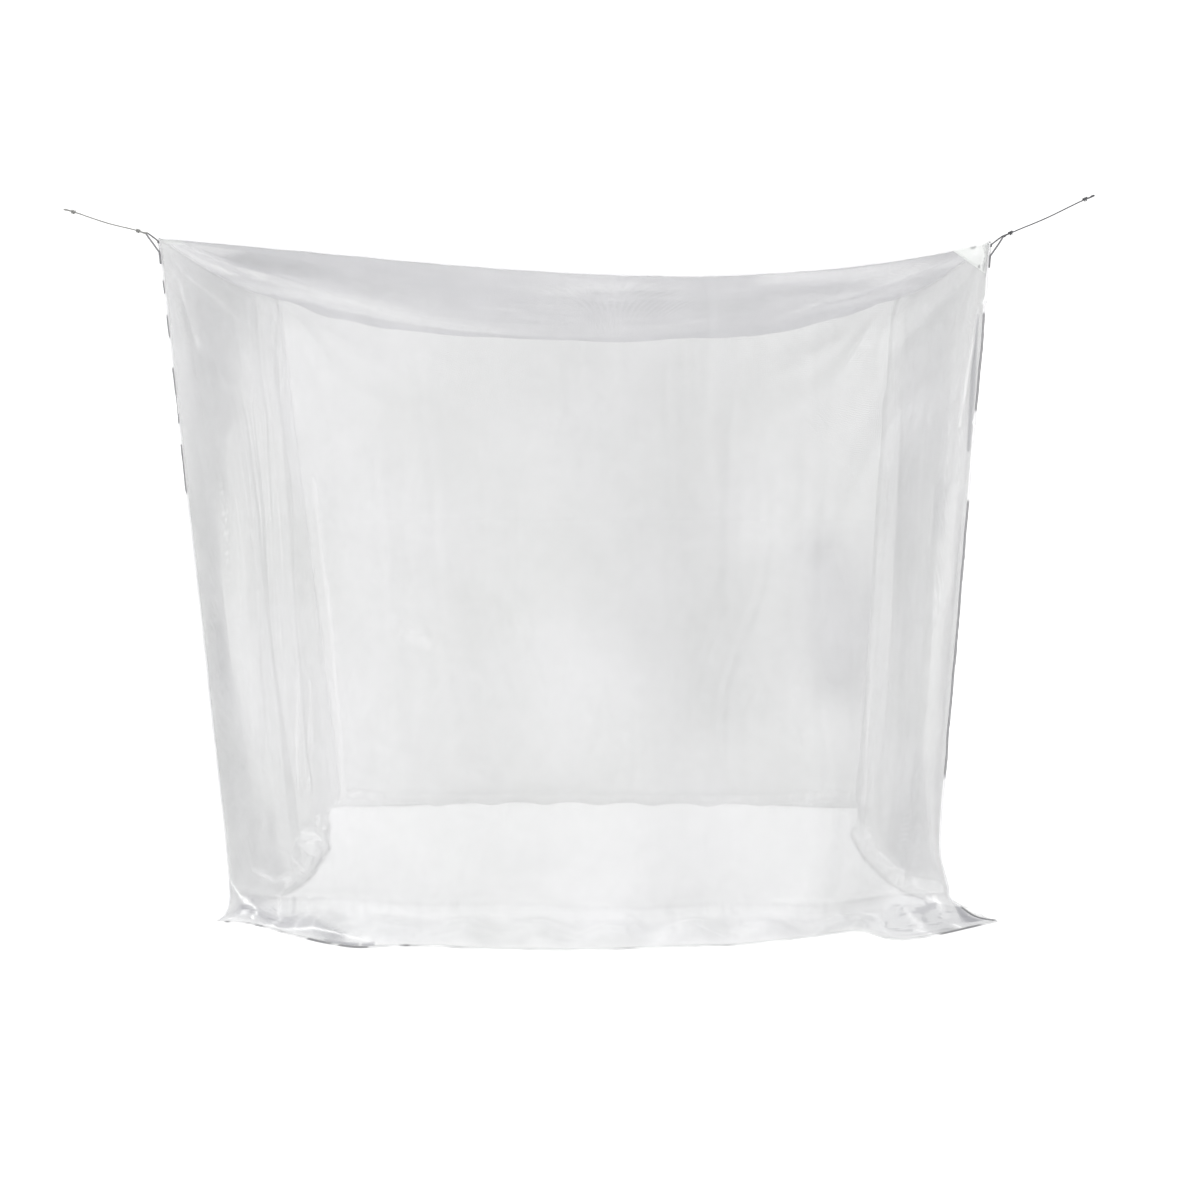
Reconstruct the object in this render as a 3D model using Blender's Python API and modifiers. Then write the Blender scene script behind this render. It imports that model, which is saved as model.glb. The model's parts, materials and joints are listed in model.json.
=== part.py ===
"""A hanging box mosquito net.

A netting roof and four netting walls are sewn along bound seams. Ribbon loops at the roof's
corners hang it, two of them with their cords tied on, and the walls' hem lies on the floor.
Units are metres, +Z is up, the front is at -Y, and the origin is on the floor under the middle.
"""

import math

import bmesh
import bpy
from mathutils import Matrix, Vector

# Overall sizes
WIDTH = 2.00  # between the roof's corners, left to right
DEPTH = 1.50  # between the roof's corners, front to back
HEIGHT = 1.69  # the roof's corners above the floor
CORNER_DROP = {"front_left": 0.0, "front_right": 0.012, "back_right": -0.01, "back_left": -0.01}
PLAN_SHIFT = Vector((-0.0177, -0.0152))  # sets the middle of the whole outline on the origin

# Cloth, seams and hem
CLOTH = 0.0005  # thickness of the netting
SEAM = 0.0025  # radius of a bound seam
HEM_WIDTH = 0.012
HEM_THICKNESS = 0.002
GAP = 0.0003  # left between pieces that are sewn together
SEAM_END = 0.006  # a seam stops this far short of a roof corner
PATCH = 0.060  # legs of the triangular corner patches
PATCH_THICKNESS = 0.001

# How the roof's edges hang: depth of the sag, and how far it leans to the edge's far end
SAG = {"front": (0.080, 3.0), "right": (0.040, 0.0), "back": (0.136, 0.0), "left": (0.040, 0.0)}
EDGE_PULL = 0.030  # inwards, at the middle of an edge
ROOF_SAG = 0.030  # of the middle, below the sheet that its edges span
PLEAT = 0.016  # depth of the roof's pleats, which fan out from each corner
PLEAT_FROM_CORNER = 0.28
PLEAT_FROM_EDGE = 0.12
PLEATS = 3

# Where the walls come down: inwards from the roof's corners, then outwards to the hem's corners
FALL_INSET = {
    "front_left": (0.123, 0.138),
    "front_right": (0.097, 0.100),
    "back_right": (0.100, -0.050),
    "back_left": (0.180, -0.050),
}
CORNER_RUN = {
    "front_left": (0.020, 0.070),
    "front_right": (0.155, 0.010),
    "back_right": (0.050, 0.080),
    "back_left": (0.050, 0.080),
}

# Along each side, from its first corner to its second: how far the fall line bows out, and how far
# beyond that line the hem lies
FALL_BOW = {
    "front": ((0.10, 0.045), (0.25, 0.080), (0.50, 0.105), (0.75, 0.080), (0.90, 0.040)),
    "right": ((0.30, -0.010), (0.70, -0.012)),
    "back": ((0.30, 0.010), (0.70, 0.010)),
    "left": ((0.29, 0.045), (0.45, 0.010), (0.62, -0.035), (0.84, -0.045)),
}
HEM_REACH = {
    "front": (
        (0.04, 0.075),
        (0.12, 0.165),
        (0.20, 0.235),
        (0.27, 0.205),
        (0.40, 0.215),
        (0.52, 0.205),
        (0.62, 0.180),
        (0.72, 0.165),
        (0.82, 0.105),
        (0.89, 0.075),
        (0.945, 0.170),
    ),
    "right": ((0.10, 0.060), (0.20, -0.020), (0.40, -0.055), (0.60, -0.060), (0.80, -0.045), (0.92, 0.012)),
    "back": ((0.10, 0.100), (0.25, 0.150), (0.50, 0.165), (0.75, 0.150), (0.90, 0.100)),
    "left": ((0.08, 0.012), (0.20, -0.055), (0.40, -0.100), (0.60, -0.070), (0.80, -0.055), (0.93, -0.012)),
}

# The walls' main folds: where each starts along the top and where it ends at the floor, its width,
# and its depth outwards
FOLDS = {
    "front": (
        (0.00, 0.07, 0.22, 0.022),
        (0.06, 0.17, 0.20, -0.018),
        (0.24, 0.29, 0.30, 0.016),
        (0.40, 0.42, 0.26, -0.016),
        (0.57, 0.56, 0.30, 0.018),
        (0.72, 0.70, 0.24, -0.014),
        (0.88, 0.83, 0.20, 0.020),
        (0.99, 0.93, 0.18, -0.022),
    ),
    "right": (
        (0.04, 0.10, 0.14, 0.026),
        (0.12, 0.20, 0.12, -0.022),
        (0.22, 0.30, 0.16, 0.018),
        (0.50, 0.46, 0.18, -0.016),
        (0.74, 0.68, 0.16, 0.020),
        (0.90, 0.86, 0.14, -0.020),
    ),
    "back": (
        (0.06, 0.10, 0.30, 0.020),
        (0.34, 0.32, 0.34, -0.018),
        (0.62, 0.64, 0.34, 0.016),
        (0.92, 0.90, 0.30, -0.018),
    ),
    "left": (
        (0.07, 0.14, 0.15, 0.022),
        (0.20, 0.25, 0.14, -0.020),
        (0.42, 0.40, 0.18, 0.018),
        (0.66, 0.60, 0.18, -0.018),
        (0.86, 0.80, 0.15, 0.022),
        (0.97, 0.92, 0.12, -0.020),
    ),
}
FOLD_GROWTH = 0.35  # a fold reaches its full depth this share of the way down
FOLD_FROM_SEAM = 0.16  # and this far from the corner seams

# The cloth's rows: shares of the drop from the roof to the knee, then of the run to the hem
HANG_ROWS = (0.0, 0.12, 0.30, 0.50, 0.70, 0.88, 1.0)
FLOOR_ROWS = (0.10, 0.36, 0.70, 1.0)
FLOOR_LIFTS = (0.018, 0.004, 0.001, 0.0)  # height of each floor row over the cloth that lies flat
KNEE = 0.050  # height over the floor at which a wall starts to turn
RIPPLE = 0.020  # most height of the folds in the cloth on the floor
RIPPLE_SLOPE = 0.35  # and their height as a share of the run that they cross
RIPPLE_PITCH = 0.21  # from one of them to the next
ROOF_CELLS = {"front": 24, "right": 16, "back": 24, "left": 16}
WALL_CELLS = {"front": 2, "right": 2, "back": 1, "left": 2}  # of a wall, under a cell of the roof

# Corner loops: outwards from the line of a corner seam, and along it from the roof's corner
RIBBON_WIDTH = 0.010
RIBBON = 0.001  # thickness
LOOP_REACH = 0.030  # out from the seam to where the cord lies in the loop
LOOP_RISE = 0.012  # and along the seam's line, above the corner
UPPER_LEG = (-0.007, -0.013)  # where the upper leg meets the seam, and where it ends
LOWER_LEG = (-0.034, -0.062)
LOOP_TURN = {  # degrees about the seam, from square
    "front_left": -10.0,
    "front_right": 14.0,
    "back_right": 0.0,
    "back_left": 0.0,
}
LOOP_ARC_STEPS = 6

# Cords, in their own frames: out along the pull, across, and up, from where the straight run starts
CORD = 0.0015  # radius
CORD_RISE = {"front_left": math.radians(11.5), "front_right": math.radians(20.0)}
CORD_ROUTE = {
    "front_left": (
        (0.0, 0.0, 0.0),
        (0.018, 0.0, 0.0),
        (0.038, 0.0006, -0.0010),
        (0.058, 0.0012, -0.0022),
        (0.078, 0.0014, -0.0030),
        (0.098, 0.0010, -0.0028),
        (0.118, 0.0004, -0.0020),
        (0.138, 0.0, -0.0010),
        (0.154, 0.0, 0.0),
        (0.178, 0.0, 0.0),
    ),
    "front_right": (
        (0.0, 0.0, 0.0),
        (0.018, 0.0, 0.0),
        (0.043, -0.0004, -0.0008),
        (0.068, -0.0010, -0.0020),
        (0.093, -0.0012, -0.0026),
        (0.118, -0.0010, -0.0024),
        (0.143, -0.0004, -0.0014),
        (0.168, 0.0, -0.0004),
        (0.184, 0.0, 0.0),
        (0.208, 0.0, 0.0),
    ),
}
BIGHT = 8 * CORD  # from the bend in a loop or eye to the cord's straight run
TIE_GAP = 0.0005  # beside the ribbon, where a cord's bight passes it
EYE_HOLE = 0.0066  # width of the eye at a cord's far end
WRAP_START = BIGHT + 3 * CORD  # from the bend to the first of the turns that tie it
WRAP_TURNS = 2.5
WRAP_PITCH = 2 * CORD + 0.0008
WRAP_GAP = 0.00045  # between the turns and the cord inside them
WRAP_POINTS = 10  # to a turn
BIGHT_STEP = 0.0016  # between the points of a bight
CORD_STEP = 0.008  # and between those of a cord
TUBE_SIDES = 1  # bevel resolution of the seams
CORD_SIDES = 2

# Base colour, alpha and roughness of each material
FINISHES = {
    "netting": ((0.86, 0.86, 0.88), 0.5, 0.75),
    "seam_tape": ((0.90, 0.90, 0.91), 0.9, 0.7),
    "hem_tape": ((0.90, 0.90, 0.91), 0.9, 0.7),
    "ribbon": ((0.88, 0.88, 0.87), 1.0, 0.6),
    "patch_cloth": ((0.90, 0.90, 0.91), 0.85, 0.7),
    "cord_light": ((0.72, 0.72, 0.71), 1.0, 0.7),
    "cord_dark": ((0.30, 0.30, 0.31), 1.0, 0.7),
}

CORNERS = {"front_left": (-1, -1), "front_right": (1, -1), "back_right": (1, 1), "back_left": (-1, 1)}
SIDES = {
    "front": ("front_left", "front_right"),
    "right": ("front_right", "back_right"),
    "back": ("back_right", "back_left"),
    "left": ("back_left", "front_left"),
}
SEAM_CLEAR = SEAM + GAP  # from a seam's centre line to the edge of a panel
FLAT = HEM_THICKNESS + GAP + SEAM  # height of cloth that lies flat on the floor
ON_HEM = HEM_THICKNESS + GAP + CLOTH / 2  # and of its last edge, on the hem tape


def clear_scene():
    for old in list(bpy.data.objects):
        bpy.data.objects.remove(old)


def new_collection(name):
    collection = bpy.data.collections.new(name)
    bpy.context.scene.collection.children.link(collection)
    return collection


def material(name):
    found = bpy.data.materials.get(name)
    if found:
        return found
    colour, alpha, roughness = FINISHES[name]
    made = bpy.data.materials.new(name)
    made.use_nodes = True
    shader = made.node_tree.nodes["Principled BSDF"]
    shader.inputs["Base Color"].default_value = (*colour, 1.0)
    shader.inputs["Alpha"].default_value = alpha
    shader.inputs["Roughness"].default_value = roughness
    shader.inputs["Metallic"].default_value = 0.0
    made.diffuse_color = (*colour, 1.0)
    return made


def finish_object(name, data, finish, parent=None):
    """Links the data as a named object with its own material, and hangs it on its parent."""
    made = bpy.data.objects.new(name, data)
    data.materials.append(material(finish))
    NET.objects.link(made)
    made.parent = parent
    return made


def empty(name, matrix, parent=None):
    made = bpy.data.objects.new(name, None)
    NET.objects.link(made)
    made.parent = parent
    made.matrix_local = matrix
    made.empty_display_size = 0.03
    return made


def smooth_at(knots, share):
    """The value at a share of the way along knots of (share, value), on one smooth curve through them."""
    last = len(knots) - 2
    k = min(max(sum(1 for at, _ in knots if at <= share) - 1, 0), last)
    (at0, low), (at1, high) = knots[k], knots[k + 1]
    span = at1 - at0
    slopes = []
    for n in (k, k + 1):
        before, after = knots[max(n - 1, 0)], knots[min(n + 1, last + 1)]
        slopes.append((after[1] - before[1]) * (span / (after[0] - before[0])))
    t = (share - at0) / span
    return (
        low * (2 * t**3 - 3 * t**2 + 1)
        + slopes[0] * (t**3 - 2 * t**2 + t)
        + high * (3 * t**2 - 2 * t**3)
        + slopes[1] * (t**3 - t**2)
    )


def smooth_line(points, step):
    """Points every step or so along one smooth curve through the given ones."""
    knots = [(n, Vector(point)) for n, point in enumerate(points)]
    line = []
    for n in range(len(points) - 1):
        pieces = max(1, round((knots[n + 1][1] - knots[n][1]).length / step))
        line += [smooth_at(knots, n + k / pieces) for k in range(pieces)]
    return line + [knots[-1][1]]


def ease(share):
    share = min(max(share, 0.0), 1.0)
    return share * share * (3 - 2 * share)


def roof_corner(corner):
    across, along = CORNERS[corner]
    plan = Vector((across * WIDTH / 2, along * DEPTH / 2)) + PLAN_SHIFT
    return Vector((plan.x, plan.y, HEIGHT - CORNER_DROP[corner]))


def fall_corner(corner):
    """Where a corner seam comes down to the floor, in plan."""
    across, along = CORNERS[corner]
    inset = FALL_INSET[corner]
    return roof_corner(corner).to_2d() - Vector((across * inset[0], along * inset[1]))


def corner_run(corner):
    """From there along the floor to the corner of the hem, in plan."""
    across, along = CORNERS[corner]
    run = CORNER_RUN[corner]
    return Vector((across * run[0], along * run[1]))


def outward(side):
    first, second = SIDES[side]
    way = (roof_corner(second) - roof_corner(first)).to_2d().normalized()
    return Vector((way.y, -way.x))


def stations(side):
    """Shares of a roof edge at the ends of the roof's cells. The end cells are as long as the patches."""
    first, second = SIDES[side]
    end = PATCH / (roof_corner(second) - roof_corner(first)).length
    cells = ROOF_CELLS[side] - 2
    inner = [end + (1 - 2 * end) * k / cells for k in range(cells + 1)]
    return [0.0, *inner, 1.0]


def edge_point(side, share):
    """A point on a roof edge as it hangs."""
    first, second = SIDES[side]
    depth, lean = SAG[side]
    shape = share * (1 - share) * (1 + lean * share)
    deepest = max(k * (100 - k) * (1 + lean * k / 100) for k in range(101)) / 10000
    point = roof_corner(first).lerp(roof_corner(second), share)
    point.z -= depth * shape / deepest
    inwards = -outward(side) * EDGE_PULL * 4 * share * (1 - share)
    return point + inwards.to_3d()


def fall_point(side, share):
    """A point on the line where a wall meets the floor, in plan."""
    first, second = SIDES[side]
    bow = smooth_at(((0.0, 0.0), *FALL_BOW[side], (1.0, 0.0)), share)
    return fall_corner(first).lerp(fall_corner(second), share) + outward(side) * bow


def hem_run(side, share):
    """From the fall line to the hem, in plan."""
    first, second = SIDES[side]
    inner = [(at, outward(side) * reach) for at, reach in HEM_REACH[side]]
    return smooth_at([(0.0, corner_run(first)), *inner, (1.0, corner_run(second))], share)


def fold_depth(side, share, down):
    """How far the main folds push a wall outwards, a share along it and a share of the way down."""
    first, second = SIDES[side]
    length = (roof_corner(second) - roof_corner(first)).length
    depth = 0.0
    for top, bottom, width, push in FOLDS[side]:
        off = (share - top - (bottom - top) * down) * length / width
        depth += push * math.exp(-4 * off * off)
    near = min(share, 1 - share) * length / FOLD_FROM_SEAM
    return depth * ease(down / FOLD_GROWTH) * ease(near)


def wall_columns(side):
    """Shares along a wall at its columns, each with the point of the roof edge over it."""
    edges = stations(side)
    cells = WALL_CELLS[side]
    columns = []
    for low, high in zip(edges, edges[1:]):
        ends = edge_point(side, low), edge_point(side, high)
        for k in range(cells):
            columns.append((low + (high - low) * k / cells, ends[0].lerp(ends[1], k / cells)))
    return [*columns, (1.0, edge_point(side, 1.0))]


def wall_column(side, share, top, bare=False):
    """The points of a wall from the roof edge to the hem. A bare one has no folds, as at a corner seam."""
    fall, run = fall_point(side, share), hem_run(side, share)
    knee = Vector((fall.x, fall.y, KNEE))
    length = (roof_corner(SIDES[side][0]) - roof_corner(SIDES[side][1])).length
    near = 0.0 if bare else ease(min(share, 1 - share) * length / FOLD_FROM_SEAM)
    ripple = min(RIPPLE, RIPPLE_SLOPE * run.length) * near
    points = []
    for down in HANG_ROWS:
        push = 0.0 if bare else fold_depth(side, share, down)
        points.append(top.lerp(knee, down) + (outward(side) * push).to_3d())
    last_push = points[-1].to_2d() - fall
    for out, lift in zip(FLOOR_ROWS, FLOOR_LIFTS):
        wave = 0.5 + 0.5 * math.sin(2 * math.pi * share * length / RIPPLE_PITCH)
        height = FLAT + lift + ripple * wave * math.sin(math.pi * out)
        plan = fall + run * out + last_push * (1 - out)
        points.append(Vector((plan.x, plan.y, height)))
    return points


def set_back(points, neighbours, line, distance):
    """Moves each point towards its neighbour until it is that far from both runs of its line."""
    moved = []
    for n, (point, neighbour) in enumerate(zip(points, neighbours)):
        way = neighbour - point
        spans = [line[k + 1] - line[k] for k in (n - 1, n) if 0 <= k < len(line) - 1]
        offs = [(way - span * (way.dot(span) / span.length_squared)).length for span in spans]
        moved.append(point + way * (distance / min(offs)))
    return moved


def cloth_mesh(name, grid, thickness, finish, parent=None):
    """A sheet through a grid of points, given its thickness by Solidify."""
    rows, columns = len(grid) - 1, len(grid[0]) - 1
    shape = bmesh.new()
    bmesh.ops.create_grid(shape, x_segments=columns, y_segments=rows, size=0.5)
    for vertex in shape.verts:
        column = round((vertex.co.x + 0.5) * columns)
        row = round((vertex.co.y + 0.5) * rows)
        vertex.co = grid[row][column]
    return sheet_object(name, shape, thickness, finish, parent)


def sheet_object(name, shape, thickness, finish, parent=None):
    mesh = bpy.data.meshes.new(name)
    shape.to_mesh(mesh)
    shape.free()
    mesh.shade_smooth()
    made = finish_object(name, mesh, finish, parent)
    shell = made.modifiers.new("thickness", "SOLIDIFY")
    shell.thickness = thickness
    shell.offset = 0.0
    shell.use_even_offset = True
    return made


def tube(name, points, radius, sides, finish, parent=None):
    """A round tube along the points, closed at its ends."""
    curve = bpy.data.curves.new(name, "CURVE")
    curve.dimensions = "3D"
    curve.bevel_depth = radius
    curve.bevel_resolution = sides
    curve.use_fill_caps = True
    spline = curve.splines.new("POLY")
    spline.points.add(len(points) - 1)
    for at, point in zip(spline.points, points):
        at.co = (*point, 1.0)
    return finish_object(name, curve, finish, parent)


def wall(side):
    """One netting wall, clear of the seams round it, with its last edge on the hem tape."""
    columns = [wall_column(side, share, top) for share, top in wall_columns(side)]
    first = wall_column(side, 0.0, edge_point(side, 0.0), bare=True)
    last = wall_column(side, 1.0, edge_point(side, 1.0), bare=True)
    columns[0] = set_back(first, columns[1], first, SEAM_CLEAR)
    columns[-1] = set_back(last, columns[-2], last, SEAM_CLEAR)
    tops = [column[0] for column in columns]
    below = [column[1] for column in columns]
    for column, top in zip(columns, set_back(tops, below, tops, SEAM_CLEAR)):
        column[0] = top
        column[-1].z = ON_HEM
    cloth_mesh(f"wall_{side}", columns, CLOTH, "netting")


def roof_grid():
    """Points of the roof at its cells' corners, by column from left to right and row from front to back."""
    across, along = stations("front"), stations("right")
    front = [edge_point("front", u) for u in across]
    back = [edge_point("back", 1 - u) for u in across]
    left = [edge_point("left", 1 - v) for v in along]
    right = [edge_point("right", v) for v in along]
    grid = []
    for i, u in enumerate(across):
        column = []
        for j, v in enumerate(along):
            between = front[i].lerp(back[i], v) + left[j].lerp(right[j], u)
            flat = left[0].lerp(right[0], u).lerp(left[-1].lerp(right[-1], u), v)
            point = between - flat
            point.z -= ROOF_SAG * 16 * u * (1 - u) * v * (1 - v)
            point.z += pleat_height(u, v)
            column.append(point)
        grid.append(column)
    return grid


def pleat_height(u, v):
    """The roof's pleats, which start at its corners and fade along its edges and towards the middle."""
    height = 0.0
    for x in (u, 1 - u):
        for y in (v, 1 - v):
            far = math.hypot(x * WIDTH, y * DEPTH) / PLEAT_FROM_CORNER
            if far == 0:
                continue
            turn = math.atan2(y * DEPTH, x * WIDTH)
            fade = far * math.exp(1 - far) * math.sin(2 * turn)
            height += PLEAT * fade * math.sin(2 * PLEATS * turn)
    edge = min(u * WIDTH, (1 - u) * WIDTH, v * DEPTH, (1 - v) * DEPTH)
    return height * ease(edge / PLEAT_FROM_EDGE)


def roof():
    """The netting roof, cut across its corners where the patches go."""
    grid = roof_grid()
    columns = list(zip(*grid))
    front = set_back(columns[0], columns[1], columns[0], SEAM_CLEAR)
    back = set_back(columns[-1], columns[-2], columns[-1], SEAM_CLEAR)
    left = set_back(grid[0], grid[1], grid[0], SEAM_CLEAR)
    right = set_back(grid[-1], grid[-2], grid[-1], SEAM_CLEAR)
    for i, column in enumerate(grid):
        column[0], column[-1] = front[i], back[i]
    grid[0][1:-1], grid[-1][1:-1] = left[1:-1], right[1:-1]
    shape = bmesh.new()
    bmesh.ops.create_grid(shape, x_segments=len(grid) - 1, y_segments=len(grid[0]) - 1, size=0.5)
    at = {}
    for vertex in shape.verts:
        i = round((vertex.co.x + 0.5) * (len(grid) - 1))
        j = round((vertex.co.y + 0.5) * (len(grid[0]) - 1))
        at[i, j] = vertex
        vertex.co = grid[i][j]
    last = len(grid) - 1, len(grid[0]) - 1
    for i, j in ((0, 0), (last[0], 0), (0, last[1]), (last[0], last[1])):
        a, b = (1 if i == 0 else -1), (1 if j == 0 else -1)
        three = [at[i + a, j], at[i + a, j + b], at[i, j + b]]
        bmesh.ops.delete(shape, geom=[at[i, j]], context="VERTS")
        shape.faces.new(three if a * b > 0 else three[::-1])
    sheet_object("roof_panel", shape, CLOTH, "netting")


def corner_patch(corner):
    """A triangle of close cloth in the roof's corner."""
    first = next(side for side, ends in SIDES.items() if ends[0] == corner)
    second = next(side for side, ends in SIDES.items() if ends[1] == corner)
    tip = roof_corner(corner)
    one, two = edge_point(first, stations(first)[1]), edge_point(second, stations(second)[-2])
    way_one, way_two = (one - tip).normalized(), (two - tip).normalized()
    cut = GAP * math.sqrt(2)
    corners = (
        tip + (way_one + way_two) * SEAM_CLEAR,
        one + way_two * SEAM_CLEAR - way_one * cut,
        two + way_one * SEAM_CLEAR - way_two * cut,
    )
    shape = bmesh.new()
    shape.faces.new([shape.verts.new(point) for point in corners])
    sheet_object(f"corner_patch_{corner}", shape, PATCH_THICKNESS, "patch_cloth")


def shortened(points, start, end):
    """The line with that much taken off each end."""
    line = [Vector(point) for point in points]
    line[0] += (line[1] - line[0]).normalized() * start
    line[-1] += (line[-2] - line[-1]).normalized() * end
    return line


def roof_seam(side):
    line = [edge_point(side, share) for share in stations(side)]
    tube(f"roof_seam_{side}", shortened(line, SEAM_END, SEAM_END), SEAM, TUBE_SIDES, "seam_tape")


def corner_seam(corner):
    side = next(side for side, ends in SIDES.items() if ends[0] == corner)
    line = wall_column(side, 0.0, edge_point(side, 0.0), bare=True)
    tube(f"corner_seam_{corner}", shortened(line, SEAM_END, 0.0), SEAM, TUBE_SIDES, "seam_tape")


def hem_line(side):
    """The middle of the hem tape, in plan."""
    return [fall_point(side, share) + hem_run(side, share) for share, _ in wall_columns(side)]


def tape_edges(centre, way, square):
    """The two edges of the hem tape at a point of its middle line, cut along the way that square gives."""
    across = Vector((way.y, -way.x))
    half = square * (HEM_WIDTH / 2 / square.dot(across))
    return [Vector((*plan, HEM_THICKNESS / 2)) for plan in (centre - half, centre + half)]


def hem(side, parent):
    """The flat tape under the last edge of a wall, mitred to its neighbours at the corners."""
    line = hem_line(side)
    names = list(SIDES)
    at = names.index(side)
    last = len(line) - 1
    beyond = {0: hem_line(names[at - 1])[-2], last: hem_line(names[(at + 1) % len(names)])[1]}
    edges = []
    for n, point in enumerate(line):
        behind = line[n - 1] if n > 0 else beyond[0]
        ahead = line[n + 1] if n < last else beyond[last]
        into, out = (point - behind).normalized(), (ahead - point).normalized()
        square = Vector(((into + out).y, -(into + out).x)).normalized()
        if n == 0:
            edges.append(tape_edges(point + out * GAP, out, square))
        elif n == last:
            edges.append(tape_edges(point - into * GAP, into, square))
        else:
            edges.append(tape_edges(point, (into + out).normalized(), square))
    cloth_mesh(f"hem_{side}", edges, HEM_THICKNESS, "hem_tape", parent)


def loop_line():
    """The ribbon of a corner loop, as points outwards from its seam and along it."""
    seat = SEAM_CLEAR + RIBBON / 2
    centre = Vector((LOOP_REACH, LOOP_RISE))
    bend = CORD + GAP + RIBBON / 2
    lower, upper = Vector((seat, LOWER_LEG[0])), Vector((seat, UPPER_LEG[0]))
    starts = []
    for leg, side in ((lower, -1), (upper, 1)):
        way = centre - leg
        starts.append(math.atan2(way.y, way.x) + side * (math.pi / 2 + math.asin(bend / way.length)))
    line = [Vector((seat, LOWER_LEG[1])), lower]
    for k in range(LOOP_ARC_STEPS + 1):
        turn = starts[0] + (starts[1] - starts[0]) * k / LOOP_ARC_STEPS
        line.append(centre + Vector((math.cos(turn), math.sin(turn))) * bend)
    return [*line, upper, Vector((seat, UPPER_LEG[1]))]


def loop_place(corner):
    """The frame of a corner loop: its Z lies along the seam, and its X points outwards."""
    across, along = CORNERS[corner]
    foot = fall_corner(corner)
    up = (roof_corner(corner) - Vector((foot.x, foot.y, KNEE))).normalized()
    turn = math.atan2(along, across) + math.radians(LOOP_TURN[corner])
    out = Vector((math.cos(turn), math.sin(turn), 0.0))
    out = (out - up * out.dot(up)).normalized()
    return Matrix.Translation(roof_corner(corner)) @ Matrix((out, up.cross(out), up)).transposed().to_4x4()


def corner_loop(corner):
    """A ribbon loop that swings on the corner seam. Returns the empty on its axis."""
    pivot = empty(f"loop_axis_{corner}", loop_place(corner))
    half = RIBBON_WIDTH / 2
    grid = [[Vector((out, y, up)) for y in (-half, half)] for out, up in loop_line()]
    cloth_mesh(f"corner_loop_{corner}", grid, RIBBON, "ribbon", pivot)
    return pivot


def bight_and_wraps(half):
    """A cord's end as it is tied: round a bight of that half width, and then in turns round the cord."""
    around = 2 * CORD + WRAP_GAP
    bight = [
        (BIGHT - GAP, 0.0, 0.0),
        (5.8 * CORD, 0.0, 0.0),
        (4.4 * CORD, 0.45 * half, 0.0),
        (3.1 * CORD, 0.92 * half, 0.0),
        (1.2 * CORD, half, 0.0),
        (0.0, 0.72 * half, 0.0),
        (0.0, 0.0, 0.0),
        (0.0, -0.72 * half, 0.0),
        (1.2 * CORD, -half, 0.0),
        (4.0 * CORD, -half, 0.0),
        (7.7 * CORD, -0.5 * (half + around), 0.0),
        (WRAP_START, -around, 0.0),
    ]
    line = smooth_line(bight, BIGHT_STEP)
    for k in range(1, round(WRAP_TURNS * WRAP_POINTS) + 1):
        turn = 2 * math.pi * k / WRAP_POINTS
        along = WRAP_START + WRAP_PITCH * k / WRAP_POINTS
        line.append(Vector((along, -around * math.cos(turn), around * math.sin(turn))))
    return line


def least_gap(line, radius):
    """The least clear distance of a tube to itself, between points over three diameters apart along it."""
    least = math.inf
    lengths = [0.0]
    for a, b in zip(line, line[1:]):
        lengths.append(lengths[-1] + (b - a).length)
    for i, a in enumerate(line):
        for j in range(i + 1, len(line)):
            if lengths[j] - lengths[i] > 6 * radius:
                least = min(least, (line[j] - a).length - 2 * radius)
    return least


def cord(corner, loop_pivot, finish):
    """A hanging cord, tied through its loop and with an eye at its far end, on its swing axis."""
    lean = math.asin(-loop_place(corner).col[0].z)  # of the loop's outward axis, below the horizontal
    turn = Matrix.Rotation(-(CORD_RISE[corner] + lean), 4, "Y")
    place = Matrix.Translation((LOOP_REACH, 0.0, LOOP_RISE))
    pivot = empty(f"cord_axis_{corner}", place @ turn, loop_pivot)
    route = [Vector(point) + Vector((BIGHT, 0.0, 0.0)) for point in CORD_ROUTE[corner]]
    tube(f"cord_{corner}", smooth_line(route, CORD_STEP), CORD, CORD_SIDES, finish, pivot)
    near = bight_and_wraps(RIBBON_WIDTH / 2 + TIE_GAP + CORD)
    far = bight_and_wraps(EYE_HOLE / 2 + CORD)
    gaps = [f"{1000 * least_gap(line, CORD):.2f}" for line in (near, far)]
    print(f"cord_{corner}: least gaps in its tie and its eye, in mm:", *gaps)
    tube(f"cord_tie_{corner}", near, CORD, TUBE_SIDES, finish, pivot)
    end = route[-1] + Vector((BIGHT, 0.0, 0.0))
    flipped = [Vector((end.x - point.x, -point.y, point.z)) for point in far]
    tube(f"cord_eye_{corner}", flipped, CORD, TUBE_SIDES, finish, pivot)


clear_scene()
NET = new_collection("hanging_mosquito_net")
skirt = empty("skirt_lift", Matrix.Identity(4))
roof()
for side in SIDES:
    wall(side)
    roof_seam(side)
    hem(side, skirt)
for corner in CORNERS:
    corner_seam(corner)
    corner_patch(corner)
loops = {corner: corner_loop(corner) for corner in CORNERS}
cord("front_left", loops["front_left"], "cord_light")
cord("front_right", loops["front_right"], "cord_dark")
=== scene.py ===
"""The looks of the hanging mosquito net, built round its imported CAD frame. Metres, +Z up."""

import json
import math

import bpy
import numpy as np
from mathutils import Matrix, Vector


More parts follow.
